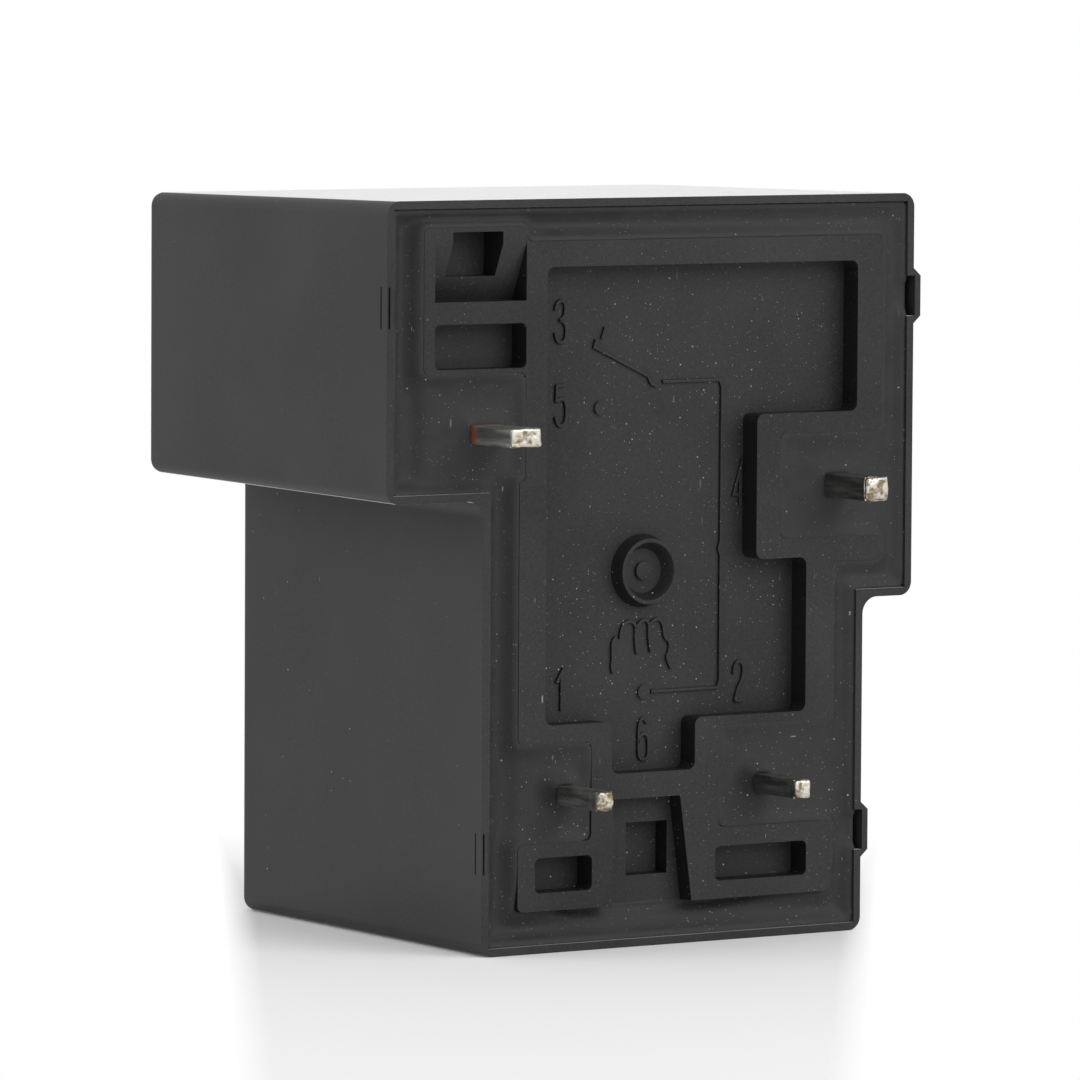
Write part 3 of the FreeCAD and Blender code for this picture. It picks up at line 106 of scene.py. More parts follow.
class RelayPlastic(bpy.types.PropertyGroup):
    """Moulded plastic of the cover and the base."""

    case: colour("Case colour", "Black of the cover", (0.028, 0.028, 0.029))
    base: colour("Base colour", "Black of the pin side", (0.025, 0.025, 0.0256))
    roughness: share("Roughness", "Middle roughness of the moulded faces", 0.5)
    specular: share("Reflection", "Strength of the plastic's reflection", 0.2)
    # Painted shade: how much darker the walls of the base are painted than its faces
    walls: share("Walls", "How dark the smooth walls of the base are beside its faces", 0.4)
    grain: length("Grain", "Size of the moulded grain", 0.09)
    grain_depth: length("Grain depth", "Depth of the moulded grain", 0.007)
    edge: length("Soft edge", "Radius of the cover's small edges", 0.09)
    base_edge: length("Base edge", "Radius of the base's edges", 0.2)
    outer: length("Outer edge", "Radius of the cover's long outer edges", 0.5)
    # Painted reflection: a pale colour mixed into the cover's colour where a face is seen nearly
    # edge-on
    painted_reflection: colour("Glancing colour", "Pale reflection of a face seen nearly edge-on",
                   (0.85, 0.85, 0.85))


class RelayResin(bpy.types.PropertyGroup):
    """Resin poured inside the rim."""

    tint: colour("Resin colour", "Black of the poured resin", (0.029, 0.029, 0.0293))
    cell: length("Cell", "Size of the resin surface's cells", 0.15)
    climb: share("Climb", "Share of a wall's height that the resin creeps up", 0.97)
    left: share("Left filling", "Share of its depth that the resin fills more at the left end", 0.1)
    right: share("Right filling", "Share of its depth that the resin fills more at the right end",
                 0.64)
    reach: length("Meniscus reach", "How far from a wall the creeping ends", 0.38)
    waves: length("Waves", "Height of the resin's slow waves", 0.012)
    skin: length("Thickness", "Thickness of the modelled skin of resin", 0.22)
    flow: IntProperty(name="Flow", description="How often the two levels are blended", default=10,
                      min=0)


class RelayMetal(bpy.types.PropertyGroup):
    """Tin on the pins and the metals inside."""

    tin: colour("Tin", "Bright tin on the pins' ends", (0.6, 0.56, 0.5))
    stain: colour("Stain", "Brownish stain on the pins' ends", (0.22, 0.17, 0.105))
    tarnish: colour("Tarnish", "Dull tin on the pins' sides", (0.11, 0.113, 0.106))
    rust: colour("Rust", "Rust at the foot of pin 5", (0.26, 0.06, 0.016))
    coat: length("Coat", "Thickness of the tin on the pins", 0.02)
    lumps: length("Lumps", "Height of the lumps in the tin", 0.05)


class RelayMarks(bpy.types.PropertyGroup):
    """Raised numbers and contact diagram in the recess."""

    tall: length("Number height", "Height of the raised numbers", 1.63)
    wide: length("Number width", "Width of the raised numbers", 0.5)
    stroke: length("Stroke", "Width of the raised lines", 0.14)
    height: length("Height", "How far the marks stand up from the floor", 0.12)
    dot: length("Dot", "Radius of the raised dots", 0.3)


class RelayDust(bpy.types.PropertyGroup):
    """White dust on the dark faces."""

    tint: colour("Dust colour", "Pale grey of the specks", (0.62, 0.62, 0.60))
    spacing: length("Spacing", "Distance between specks", 0.31)
    radius: length("Speck", "Radius of the largest specks", 0.05)
    strength: share("Strength", "How strongly the dust covers what it lies on", 0.68)


class RelayStage(bpy.types.PropertyGroup):
    """Floor, light and camera."""

    floor: colour("Floor colour", "Pale floor", (0.97, 0.97, 0.967))
    sky: share("Surrounding light", "Strength of the white surrounding", 0.52, 4.0)
    key: share("Key light", "Power of the soft light before the pin side, in watts", 1.9, 10.0)
    fill: share("Fill light", "Power of the soft light behind the left side, in watts", 1.1, 10.0)
    ahead: length("Shade's middle", "How far before the relay the middle of the shaded floor lies",
                  25.0)
    keep: length("Floor kept", "How far from that middle the floor shows its own shade", 30.0)
    fade: length("Floor fade", "How far from that middle the floor is pure white", 62.0)
    strip: length("Shaded strip", "Half width of the strip of shade before the relay", 13.9)
    taper: share("Taper", "How fast the strip of shade narrows to the front", 0.048)


# Nodes of a material


def add(tree, kind, values=None, **settings):
    """A new node with its settings and the values of its inputs."""
    node = tree.nodes.new(kind)
    for key, value in settings.items():
        setattr(node, key, value)
    for key, value in (values or {}).items():
        node.inputs[key].default_value = value
    return node


def wire(tree, source, target):
    """Joins an output to an input."""
    tree.links.new(source, target)


def new_finish(name, roughness=0.5, metallic=0.0, specular=0.5):
    """A material, its tree, its shader and its Object coordinates."""
    material = bpy.data.materials.new(name)
    material.use_nodes = True
    tree = material.node_tree
    shader = tree.nodes["Principled BSDF"]
    shader.inputs["Roughness"].default_value = roughness
    shader.inputs["Metallic"].default_value = metallic
    shader.inputs["Specular IOR Level"].default_value = specular
    place = add(tree, "ShaderNodeTexCoord").outputs["Object"]
    return material, tree, shader, place


def times(tint, factor):
    """A colour made darker or paler."""
    return tuple(factor * part for part in tint)


def mapped(tree, place, values):
    """Coordinates that are shifted, turned or stretched."""
    node = add(tree, "ShaderNodeMapping", values)
    wire(tree, place, node.inputs["Vector"])
    return node.outputs["Vector"]


def mottle(tree, place, size, detail=3.0, stretch=(1.0, 1.0, 1.0)):
    """Noise of about that size in metres, from 0 to 1."""
    texture = add(tree, "ShaderNodeTexNoise", {"Scale": 1.0 / size, "Detail": detail})
    wire(tree, mapped(tree, place, {"Scale": stretch}), texture.inputs["Vector"])
    return texture.outputs["Fac"]


def between(tree, factor, low, high, start=0.35, end=0.65):
    """A colour from low to high, as the factor goes from start to end."""
    ramp = add(tree, "ShaderNodeValToRGB")
    first, last = ramp.color_ramp.elements
    first.position, first.color = start, (*low, 1.0)
    last.position, last.color = end, (*high, 1.0)
    wire(tree, factor, ramp.inputs["Fac"])
    return ramp.outputs["Color"]


def ranged(tree, factor, low, high, start=0.3, end=0.7):
    """A number from low to high, as the factor goes from start to end."""
    limits = {"From Min": start, "From Max": end, "To Min": low, "To Max": high}
    node = add(tree, "ShaderNodeMapRange", limits)
    wire(tree, factor, node.inputs["Value"])
    return node.outputs["Result"]


def rising(tree, factor, start, end):
    """A number from 0 to 1, as the factor goes from start to end."""
    return ranged(tree, factor, 0.0, 1.0, start, end)


def axes(tree, vector):
    """The three parts of a vector by their names."""
    parts = add(tree, "ShaderNodeSeparateXYZ")
    wire(tree, vector, parts.inputs["Vector"])
    return parts.outputs


def normals(tree):
    """The three parts of the surface's normal in object space."""
    return axes(tree, add(tree, "ShaderNodeTexCoord").outputs["Normal"])


def away_from(tree, vector, spot):
    """Distance from a spot."""
    node = add(tree, "ShaderNodeVectorMath", {1: spot}, operation="DISTANCE")
    wire(tree, vector, node.inputs[0])
    return node.outputs["Value"]


def reckon(tree, operation, first, second, clamp=False):
    """Arithmetic on two sockets or numbers."""
    node = add(tree, "ShaderNodeMath", operation=operation, use_clamp=clamp)
    for place, value in enumerate((first, second)):
        if isinstance(value, (int, float)):
            node.inputs[place].default_value = value
        else:
            wire(tree, value, node.inputs[place])
    return node.outputs["Value"]


def mix(tree, factor, first, second):
    """Two colours mixed by a factor."""
    node = add(tree, "ShaderNodeMix", data_type="RGBA")
    sockets = node.inputs[0], node.inputs[6], node.inputs[7]
    for socket, value in zip(sockets, (factor, first, second)):
        if isinstance(value, bpy.types.NodeSocket):
            wire(tree, value, socket)
        else:
            socket.default_value = value if isinstance(value, float) else (*value, 1.0)
    return node.outputs[2]


def bumped(tree, shader, heights):
    """The shader's normal from noise heights, each with its depth in metres."""
    normal = None
    for height, depth in heights:
        bump = add(tree, "ShaderNodeBump", {"Strength": 1.0, "Distance": depth})
        wire(tree, height, bump.inputs["Height"])
        if normal is not None:
            wire(tree, normal, bump.inputs["Normal"])
        normal = bump.outputs["Normal"]
    wire(tree, normal, shader.inputs["Normal"])


def specks(tree, place, spacing, radius, seed, stretch, turn):
    """White where a speck of dust lies: small balls of uneven size, scattered in space."""
    values = {"Location": (seed, 2.0 * seed, 3.0 * seed), "Rotation": (0.0, turn, 0.0),
              "Scale": stretch}
    cells = add(tree, "ShaderNodeTexVoronoi", {"Scale": 1.0 / spacing, "Randomness": 1.0})
    wire(tree, mapped(tree, place, values), cells.inputs["Vector"])
    parts = add(tree, "ShaderNodeSeparateColor")
    wire(tree, cells.outputs["Color"], parts.inputs["Color"])
    size = reckon(tree, "POWER", parts.outputs["Red"], 2.0)
    size = reckon(tree, "MULTIPLY", size, radius / spacing)
    inside = reckon(tree, "SUBTRACT", size, cells.outputs["Distance"])
    inside = reckon(tree, "MULTIPLY", inside, 3.0 * spacing / radius, clamp=True)
    faint = ranged(tree, parts.outputs["Green"], 0.15, 1.0, 0.0, 1.0)
    return reckon(tree, "MULTIPLY", inside, faint)


# Layers of dust: spacing, radius, weight, stretch and turn. The last two are short fibres.
DUST_LAYERS = (
    (1.0, 1.0, 1.0, (1.0, 1.0, 1.0), 0.0),
    (0.42, 0.6, 0.75, (1.0, 1.0, 1.0), 0.0),
    (1.7, 1.1, 0.7, (1.0, 1.0, 0.22), 0.35),
    (2.1, 0.9, 0.7, (0.2, 1.0, 1.0), -0.6),
)
# Size of the patches that the dust gathers in, and the heights between which it thins out
DRIFT = 7.0 * MM
DUSTY = (6.0 * MM, 26.0 * MM)


def dusted(tree, place, plain, dust, seed, amount=1.0):
    """A plain colour with dust on it, denser lower down, and the factor of that dust."""
    where = 0.0
    gap = dust.spacing / amount
    for layer, (spacing, radius, weight, stretch, turn) in enumerate(DUST_LAYERS):
        grains = specks(tree, place, spacing * gap, radius * dust.radius, seed + 0.01 * layer,
                        stretch, turn)
        where = reckon(tree, "MAXIMUM", where, reckon(tree, "MULTIPLY", grains, weight))
    drift = ranged(tree, mottle(tree, place, DRIFT, 2.0), 0.4, 1.0, 0.38, 0.6)
    many, few = 1.1 * dust.strength, 0.7 * dust.strength
    height = ranged(tree, axes(tree, place)["Z"], many, few, *DUSTY)
    where = reckon(tree, "MULTIPLY", where, reckon(tree, "MULTIPLY", drift, height))
    return mix(tree, where, plain, dust.tint), where


# Size of the plastic's slow unevenness
SLOW = 6.0 * MM
# How far a face is turned away from the eye where its painted reflection starts and is full, from 0
# to 1
PAINTED_REFLECTION_FACING = (0.84, 0.93)


def moulded(name, tint, plastic, dust, amount, seed, walls=1.0):
    """Matt moulded plastic with grain and dust, and either painted shade on its walls or a painted
    reflection edge-on.
    """
    material, tree, shader, place = new_finish(name, plastic.roughness, 0.0, plastic.specular)
    slow = mottle(tree, place, SLOW, 2.0)
    fine = mottle(tree, place, plastic.grain, 4.0)
    tone = reckon(tree, "MULTIPLY", reckon(tree, "ADD", slow, fine), 0.5)
    shade = between(tree, tone, times(tint, 0.68), times(tint, 1.36))
    # Painted shade: faces that do not face along Y, the walls, get a darker colour
    if walls < 1.0:
        flat = rising(tree, reckon(tree, "ABSOLUTE", normals(tree)["Y"], 0.0), 0.4, 0.9)
        shade = mix(tree, flat, times(tint, walls), shade)
    shade, where = dusted(tree, place, shade, dust, seed, amount)
    if walls == 1.0:
        # Painted reflection: the colour turns pale where the face is seen nearly edge-on
        painted_reflection_mask = rising(tree, add(tree, "ShaderNodeLayerWeight").outputs["Facing"], *PAINTED_REFLECTION_FACING)
        shade = mix(tree, painted_reflection_mask, shade, plastic.painted_reflection)
    wire(tree, shade, shader.inputs["Base Color"])
    rough = ranged(tree, tone, plastic.roughness - 0.06, plastic.roughness + 0.06)
    rough = reckon(tree, "MAXIMUM", rough, where)
    wire(tree, rough, shader.inputs["Roughness"])
    bumped(tree, shader, ((fine, plastic.grain_depth),))
    return material


def metal(name, low, high, roughness, size, depth, stretch=(1.0, 1.0, 1.0)):
    """Metal whose tone, roughness and surface vary with one noise."""
    material, tree, shader, place = new_finish(name, sum(roughness) / 2.0, 1.0)
    grain = mottle(tree, place, size, 4.0, stretch)
    wire(tree, between(tree, grain, low, high), shader.inputs["Base Color"])
    wire(tree, ranged(tree, grain, *roughness), shader.inputs["Roughness"])
    bumped(tree, shader, ((grain, depth),))
    return material


def wound(name, tint, pitch):
    """Enamelled wire laid in turns along Z, with painted shade between the turns."""
    material, tree, shader, place = new_finish(name, 0.3, 0.85)
    values = {"Scale": 0.05 / pitch, "Distortion": 0.6, "Detail": 1.0}
    turns = add(tree, "ShaderNodeTexWave", values, bands_direction="Z")
    wire(tree, place, turns.inputs["Vector"])
    grain = mottle(tree, place, 0.8 * MM)
    tone = reckon(tree, "MULTIPLY", turns.outputs["Fac"], ranged(tree, grain, 0.7, 1.0))
    # Painted shade: each turn runs from a dark band between the turns up to the wire's own colour
    wire(tree, between(tree, tone, times(tint, 0.35), tint, 0.0, 0.8), shader.inputs["Base Color"])
    wire(tree, ranged(tree, grain, 0.22, 0.4), shader.inputs["Roughness"])
    bumped(tree, shader, ((turns.outputs["Fac"], 0.3 * pitch),))
    return material


def film(name, tint):
    """Thin glossy tape with faint wrinkles."""
    material, tree, shader, place = new_finish(name, 0.22)
    shader.inputs["Coat Weight"].default_value = 0.6
    folds = mottle(tree, place, 2.0 * MM, 3.0, (1.0, 1.0, 0.25))
    wire(tree, between(tree, folds, times(tint, 0.88), tint), shader.inputs["Base Color"])
    wire(tree, ranged(tree, folds, 0.15, 0.35), shader.inputs["Roughness"])
    bumped(tree, shader, ((folds, 0.04 * MM),))
    return material


def paint(material, *names):
    """Gives CAD nodes a material on their slots."""
    for name in names:
        for slot in NODES[name].material_slots:
            slot.material = material


def to_mesh(name, form):
    """Mesh data from a bmesh, which is freed."""
    mesh_data = bpy.data.meshes.new(name)
    form.to_mesh(mesh_data)
    form.free()
    return mesh_data


def merged(node):
    """A copy of a CAD node's mesh with its doubles merged, as a bmesh."""
    form = bmesh.new()
    form.from_mesh(NODES[node].data)
    bmesh.ops.remove_doubles(form, verts=form.verts, dist=SAME)
    return form


def new_piece(name, form, material, smooth=True, body=HOUSING):
    """A finished piece at the origin that rides on a body, or on none yet."""
    mesh_data = to_mesh(name, form)
    for polygon in mesh_data.polygons:
        polygon.use_smooth = smooth
    piece = bpy.data.objects.new(name, mesh_data)
    bpy.context.scene.collection.objects.link(piece)
    piece.data.materials.append(material)
    if body:
        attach(piece, body)
    return piece


# Moulded pieces


# Angles below which two faces are one flat face, and from which the edge between them is sharp
FLAT = math.radians(1.0)
SHARP = math.radians(35.0)
# Least length of the long outer edges, and how far behind the rim they begin
LONG_EDGE = 8.0 * MM
BEHIND_RIM = 0.5 * MM


def soft_edged(node, material, radius, outer=0.0):
    """A copy of a moulded piece with softly rounded edges, which stands for its node.

    Its long outer edges may have a radius of their own.
    """
    form = merged(node)
    bmesh.ops.dissolve_limit(form, angle_limit=FLAT, verts=form.verts, edges=form.edges)
    if outer:
        long = [edge for edge in form.edges if edge.calc_length() > LONG_EDGE and edge.is_convex
                and min(vert.co.y for vert in edge.verts) > RIM + BEHIND_RIM
                and edge.calc_face_angle(0.0) > SHARP]
        bmesh.ops.bevel(form, geom=long, offset=outer, segments=4, profile=0.5, affect="EDGES",
                        material=-1)
    piece = new_piece("moulded_" + node, form, material)
    soft = piece.modifiers.new("soft_edges", "BEVEL")
    soft.width = radius
    soft.segments = 3
    soft.limit_method = "ANGLE"
    soft.angle_limit = SHARP
    even = piece.modifiers.new("even_shading", "WEIGHTED_NORMAL")
    even.weight = 100
    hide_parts(node)


# Search for CAD surfaces


def tree_of(*names, low=-1.0, high=1.0):
    """A search tree of CAD nodes' faces whose outermost points lie between two depths."""
    form = bmesh.new()
    for name in names:
        form.from_mesh(NODES[name].data)
    others = [face for face in form.faces if not low < min(vert.co.y for vert in face.verts) < high]
    bmesh.ops.delete(form, geom=others, context="FACES")
    tree = BVHTree.FromBMesh(form)
    form.free()
    return tree


def depth_at(tree, x, z):
    """Depth of the first face met at that place from before the pins, or None."""
    hit = tree.ray_cast(Vector((x, PIN_SIDE - MM, z)), Vector((0.0, 1.0, 0.0)))[0]
    return hit.y if hit else None


# Marks


# Numbers as strokes in a box of width and height 1: kind of line, points across and up
NUMBERS = {
    "1": (("POLY", ((0.1, 0.74), (0.6, 1.0), (0.6, 0.0))),),
    "2": (("NURBS", ((0.0, 0.72), (0.05, 1.04), (1.0, 1.06), (1.0, 0.6), (0.4, 0.35), (0.15, 0.0))),
          ("POLY", ((0.15, 0.0), (1.0, 0.0)))),
    "3": (("NURBS", ((0.0, 0.8), (0.1, 1.04), (1.0, 1.06), (1.0, 0.58), (0.4, 0.54))),
          ("NURBS", ((0.4, 0.54), (1.1, 0.54), (1.1, -0.04), (0.1, -0.06), (0.0, 0.22)))),
    "4": (("POLY", ((1.0, 0.3), (0.0, 0.3), (0.7, 1.0), (0.7, 0.0))),),
    "5": (("POLY", ((0.95, 1.0), (0.12, 1.0), (0.08, 0.56))),
          ("NURBS", ((0.08, 0.56), (0.5, 0.68), (1.1, 0.6), (1.1, -0.02), (0.15, -0.08),
                     (0.0, 0.2)))),
    "6": (("NURBS", ((0.9, 0.88), (0.5, 1.08), (0.0, 0.9), (0.0, 0.25), (0.05, -0.06),
                     (0.95, -0.08), (1.05, 0.3), (0.9, 0.62), (0.1, 0.6), (0.02, 0.35))),),
}
# Middles of the numbers in the recess, in millimetres across and up
NUMBER_PLACES = (("3", -4.16, 26.90), ("5", -4.13, 23.35), ("4", 5.13, 19.54), ("1", -4.05, 11.04),
                 ("2", 5.21, 11.05), ("6", 0.25, 8.85))
# Lines of the contact diagram, in millimetres across and up
DIAGRAM = (
    ("POLY", ((-1.84, 26.62), (-2.02, 26.12))),
    ("POLY", ((-2.30, 26.10), (-2.41, 25.78), (0.38, 24.47), (0.55, 24.14), (0.86, 24.01))),
    ("POLY", ((1.12, 24.21), (4.12, 24.22), (4.24, 23.9), (4.22, 17.25), (4.12, 16.9), (4.22, 16.6),
              (4.22, 11.2), (4.10, 10.86), (0.62, 10.85))),
)
# The coil's sign in the same units: two feet and three humps
COIL = (
    ("NURBS", ((-1.32, 11.72), (-1.44, 11.95), (-1.36, 12.4), (-1.42, 13.15), (-1.18, 13.28))),
    ("NURBS", ((-0.98, 13.2), (-0.95, 13.75), (-0.5, 13.98), (-0.14, 13.75), (-0.22, 13.1),
               (-0.1, 12.5))),
    ("NURBS", ((-0.2, 13.6), (0.08, 13.98), (0.52, 13.92), (0.48, 13.2), (0.62, 12.55))),
    ("NURBS", ((0.5, 13.7), (0.75, 14.0), (1.22, 13.92), (1.3, 13.15), (1.58, 13.0), (1.6, 12.6),
               (1.38, 12.25), (1.7, 11.8))),
)
# Middles of the diagram's two dots, in millimetres across and up
DOTS = ((-2.08, 23.16), (0.24, 10.85))
# A bare place of the recess's floor, in metres across and up
BARE_PLACE = (0.0, 20.0 * MM)


def strokes(marks):
    """All raised lines as kind and points in metres across and up."""
    lines = [(kind, [(x * MM, z * MM) for x, z in points]) for kind, points in DIAGRAM + COIL]
    for number, x, z in NUMBER_PLACES:
        for kind, points in NUMBERS[number]:
            lines.append((kind, [(x * MM + (a - 0.5) * marks.wide, z * MM + (b - 0.5) * marks.tall)
                                 for a, b in points]))
    return lines


def drawn(lines):
    """Edges along the lines, as a bmesh."""
    data = bpy.data.curves.new("lines", "CURVE")
    data.dimensions = "3D"
    for kind, points in lines:
        spline = data.splines.new(kind)
        spline.points.add(len(points) - 1)
        for point, (x, z) in zip(spline.points, points):
            point.co = (x, 0.0, z, 1.0)
        if kind == "NURBS":
            spline.order_u = 3
            spline.use_endpoint_u = True
            spline.resolution_u = 6
    holder = bpy.data.objects.new("lines", data)
    flat = bpy.data.meshes.new_from_object(holder)
    form = bmesh.new()
    form.from_mesh(flat)
    bpy.data.objects.remove(holder)
    bpy.data.curves.remove(data)
    bpy.data.meshes.remove(flat)
    return form


def raise_marks(marks, material):
    """The raised numbers, diagram and dots on the recess's floor."""
    floor = depth_at(tree_of("base"), *BARE_PLACE)
    sunk = 0.3 * marks.height
    form = drawn(strokes(marks))
    made = bmesh.ops.extrude_edge_only(form, edges=form.edges)
    raised = [item for item in made["geom"] if isinstance(item, bmesh.types.BMVert)]
    bmesh.ops.translate(form, vec=(0.0, -marks.height - sunk, 0.0), verts=raised)
    bmesh.ops.translate(form, vec=(0.0, floor + sunk, 0.0), verts=form.verts)
    lines = new_piece("raised_lines", form, material, smooth=False)
    wide = lines.modifiers.new("width", "SOLIDIFY")
    wide.thickness = marks.stroke
    wide.offset = 0.0
    wide.use_even_offset = True
    soft = lines.modifiers.new("soft_edges", "BEVEL")
    soft.width = 0.25 * marks.stroke
    soft.segments = 2
    dots = bmesh.new()
    turn = Matrix.Rotation(math.radians(90.0), 4, "X")
    for x, z in DOTS:
        place = Matrix.Translation(Vector((x * MM, floor + (sunk - marks.height) / 2.0, z * MM)))
        bmesh.ops.create_cone(dots, cap_ends=True, segments=32, radius1=0.9 * marks.dot,
                              radius2=marks.dot, depth=marks.height + sunk, matrix=place @ turn)
    bmesh.ops.recalc_face_normals(dots, faces=dots.faces)
    new_piece("raised_dots", dots, material, smooth=False)


# Resin


def resin_levels(columns, rows, low, cell):
    """Depth of the poured resin at each point of the grid, or None where there is none."""
    resin = tree_of("sealing_resin")
    return {(column, row): depth_at(resin, low.x + column * cell, low.z + row * cell)
            for column in range(columns + 1) for row in range(rows + 1)}


def beside(levels, spot):
    """Levels at a grid point's four neighbours, where there is resin."""
    column, row = spot
    near = (column - 1, row), (column + 1, row), (column, row - 1), (column, row + 1)
    return [levels[other] for other in near if levels.get(other) is not None]


def spread(levels):
    """Levels carried one point further, into the walls round the resin."""
    wider = {}
    for spot, level in levels.items():
        near = beside(levels, spot)
        wider[spot] = sum(near) / len(near) if level is None and near else level
    return wider


def blended(levels):
    """Levels averaged once with their neighbours'."""
    softer = {}
    for spot, level in levels.items():
        near = beside(levels, spot)
        softer[spot] = None if level is None else (level + sum(near)) / (1 + len(near))
    return softer


# Depth of the open notch's floor, and how nearly a face lies at it
NOTCH = RIM + 0.98 * MM
NEARLY = 0.02 * MM
# Walls that the resin creeps up reach out to this depth
WALL_TOP = RIM + 0.3 * MM
# Size of the resin's slow waves
WAVE_SIZE = 2.2 * MM


def pour_resin(resin, dust):
    """One smooth skin of resin that creeps up walls and pins and runs into the open notch."""
    low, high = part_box("sealing_resin")
    cell = resin.cell
    low = low - Vector((cell, 0.0, cell))
    columns = math.ceil((high.x - low.x) / cell) + 1
    rows = math.ceil((high.z - low.z) / cell) + 1
    levels = spread(resin_levels(columns, rows, low, cell))
    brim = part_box("base")[0].y
    for _ in range(resin.flow):
        levels = blended(levels)
    walls = tree_of("base", "cover", *TAPS, high=WALL_TOP)
    mouth = tree_of("base", low=NOTCH - NEARLY, high=NOTCH + NEARLY)
    form = bmesh.new()
    bmesh.ops.create_grid(form, x_segments=columns, y_segments=rows, size=0.5)
    stray = []
    for vert in form.verts:
        spot = round((vert.co.x + 0.5) * columns), round((vert.co.y + 0.5) * rows)
        x, z = low.x + spot[0] * cell, low.z + spot[1] * cell
        level = levels[spot]
        if level is None:
            stray.append(vert)
            vert.co = (x, RIM, z)
            continue
        wave = noise.noise(Vector((x, 0.0, z)) / WAVE_SIZE) * resin.waves
        point = Vector((x, level + wave, z))
        distance = walls.find_nearest(point)[3]
        # The filling grows to the right, climbs near a wall and is flush at the notch
        filled = resin.left + (resin.right - resin.left) * spot[0] / columns
        filled += (resin.climb - filled) * math.exp(-max(0.0, distance - cell) / resin.reach)
        sunk = math.exp(-max(0.0, mouth.find_nearest(point)[3] - 2.0 * cell) / resin.reach)
        flush = (level - NOTCH) / (level - brim)
        filled += (flush - filled) * sunk
        vert.co = point - Vector((0.0, filled * (level - brim), 0.0))
    bmesh.ops.delete(form, geom=stray, context="VERTS")
    bmesh.ops.recalc_face_normals(form, faces=form.faces)
    if sum(face.normal.y for face in form.faces) > 0.0:
        bmesh.ops.reverse_faces(form, faces=form.faces)
    piece = new_piece("poured_resin", form, resin_finish(resin, dust))
    thick = piece.modifiers.new("thickness", "SOLIDIFY")
    thick.thickness = resin.skin
    thick.offset = -1.0
    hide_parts("sealing_resin")


# Painted shade at the foot of a coil pin, where the resin meets it: colour, place from the pin's
# middle at the rim, and radii
PIN_FOOT_SHADE = (0.004, 0.004, 0.004)
PIN_FOOT_SHADE_OFFSET = Vector((-0.5 * MM, 0.7 * MM, 0.15 * MM))
PIN_FOOT_SHADE_REACH = (0.35 * MM, 1.1 * MM)


def resin_finish(resin, dust):
    """Dull black resin with slow lumps and dust, and painted shade at the feet of the coil pins."""
    material, tree, shader, place = new_finish("dull_resin", 0.6, 0.0, 0.2)
    lumps = mottle(tree, place, 1.1 * MM, 3.0)
    fine = mottle(tree, place, 0.12 * MM, 3.0)
    shade = between(tree, lumps, times(resin.tint, 0.9), times(resin.tint, 1.15))
    for name in COIL_PINS:
        middle = pin_end(name)[0]
        spot = Vector((middle.x, RIM, middle.z)) + PIN_FOOT_SHADE_OFFSET
        # Painted shade: the resin's colour turns nearly black close to each coil pin's foot
        stain = ranged(tree, away_from(tree, place, spot), 1.0, 0.0, *PIN_FOOT_SHADE_REACH)
        shade = mix(tree, stain, shade, PIN_FOOT_SHADE)
    shade, where = dusted(tree, place, shade, dust, 0.35, 1.1)
    wire(tree, shade, shader.inputs["Base Color"])
    rough = reckon(tree, "MAXIMUM", ranged(tree, lumps, 0.52, 0.7), where)
    wire(tree, rough, shader.inputs["Roughness"])
    bumped(tree, shader, ((lumps, 0.016 * MM), (fine, 0.006 * MM)))
    return material


# Pins


def pin_end(name):
    """Middle and half size of a pin's section, taken from its vertices near the tip."""
    near = [vert.co for vert in NODES[name].data.vertices if vert.co.y < RIM - 2.0 * MM]
    low = Vector(min(point[axis] for point in near) for axis in range(3))
    high = Vector(max(point[axis] for point in near) for axis in range(3))
    return (low + high) / 2.0, (high - low) / 2.0


# Depths between which the rust on a pin grows full, and the tin turns clean inside the case
RUSTY = (RIM - 0.4 * MM, RIM - 0.05 * MM)
CLEAN = (RIM + 1.2 * MM, RIM + 1.6 * MM)


def tin_finish(metals, name, stained, pale, rusty=False):
    """Tin: lumpy bright ends, tarnished sides with painted highlights along their scratches, clean
    inside the case, and rust at one foot.
    """
    material, tree, shader, place = new_finish(name, 0.3, 1.0)
    lumps = mottle(tree, place, 0.3 * MM, 4.0)
    scratches_and_glints = mottle(tree, place, 0.3 * MM, 4.0, (1.0, 0.12, 1.0))
    end = rising(tree, reckon(tree, "MULTIPLY", normals(tree)["Y"], -1.0), 0.2, 0.7)
    # The sides run from a dull to a pale tarnish along the scratches: the pale streaks are painted
    # highlights, and pale sets how bright they are
    low, high = times(metals.tarnish, 0.7 * pale), times(metals.tarnish, 2.4 * pale)
    side = between(tree, scratches_and_glints, low, high, 0.42, 0.72)
    start = 0.3 + 0.15 * stained
    bright = between(tree, lumps, metals.stain, metals.tin, start, start + 0.15)
    shade = mix(tree, end, side, bright)
    metallic = ranged(tree, end, 0.12, 1.0, 0.0, 1.0)
    depth = axes(tree, place)["Y"]
    if rusty:
        foot = rising(tree, depth, *RUSTY)
        foot = reckon(tree, "MULTIPLY", foot, ranged(tree, lumps, 0.2, 1.0, 0.35, 0.5))
        shade = mix(tree, foot, shade, metals.rust)
        metallic = reckon(tree, "SUBTRACT", metallic, foot, clamp=True)
    inside = rising(tree, depth, *CLEAN)
    clean = between(tree, lumps, times(metals.tin, 0.85), metals.tin)
    wire(tree, mix(tree, inside, shade, clean), shader.inputs["Base Color"])
    wire(tree, reckon(tree, "MAXIMUM", metallic, inside), shader.inputs["Metallic"])
    wire(tree, ranged(tree, lumps, 0.25, 0.5), shader.inputs["Roughness"])
    pitted = reckon(tree, "MULTIPLY", lumps, end)
    bumped(tree, shader, ((pitted, 0.07 * MM), (scratches_and_glints, 0.006 * MM)))
    return material


# Depth at which the coat of tin begins, size of its lumps, and how far from the tip they are tall
COAT_FOOT = RIM + 0.9 * MM
LUMP_SIZE = 0.34 * MM
LUMPY = 1.2 * MM


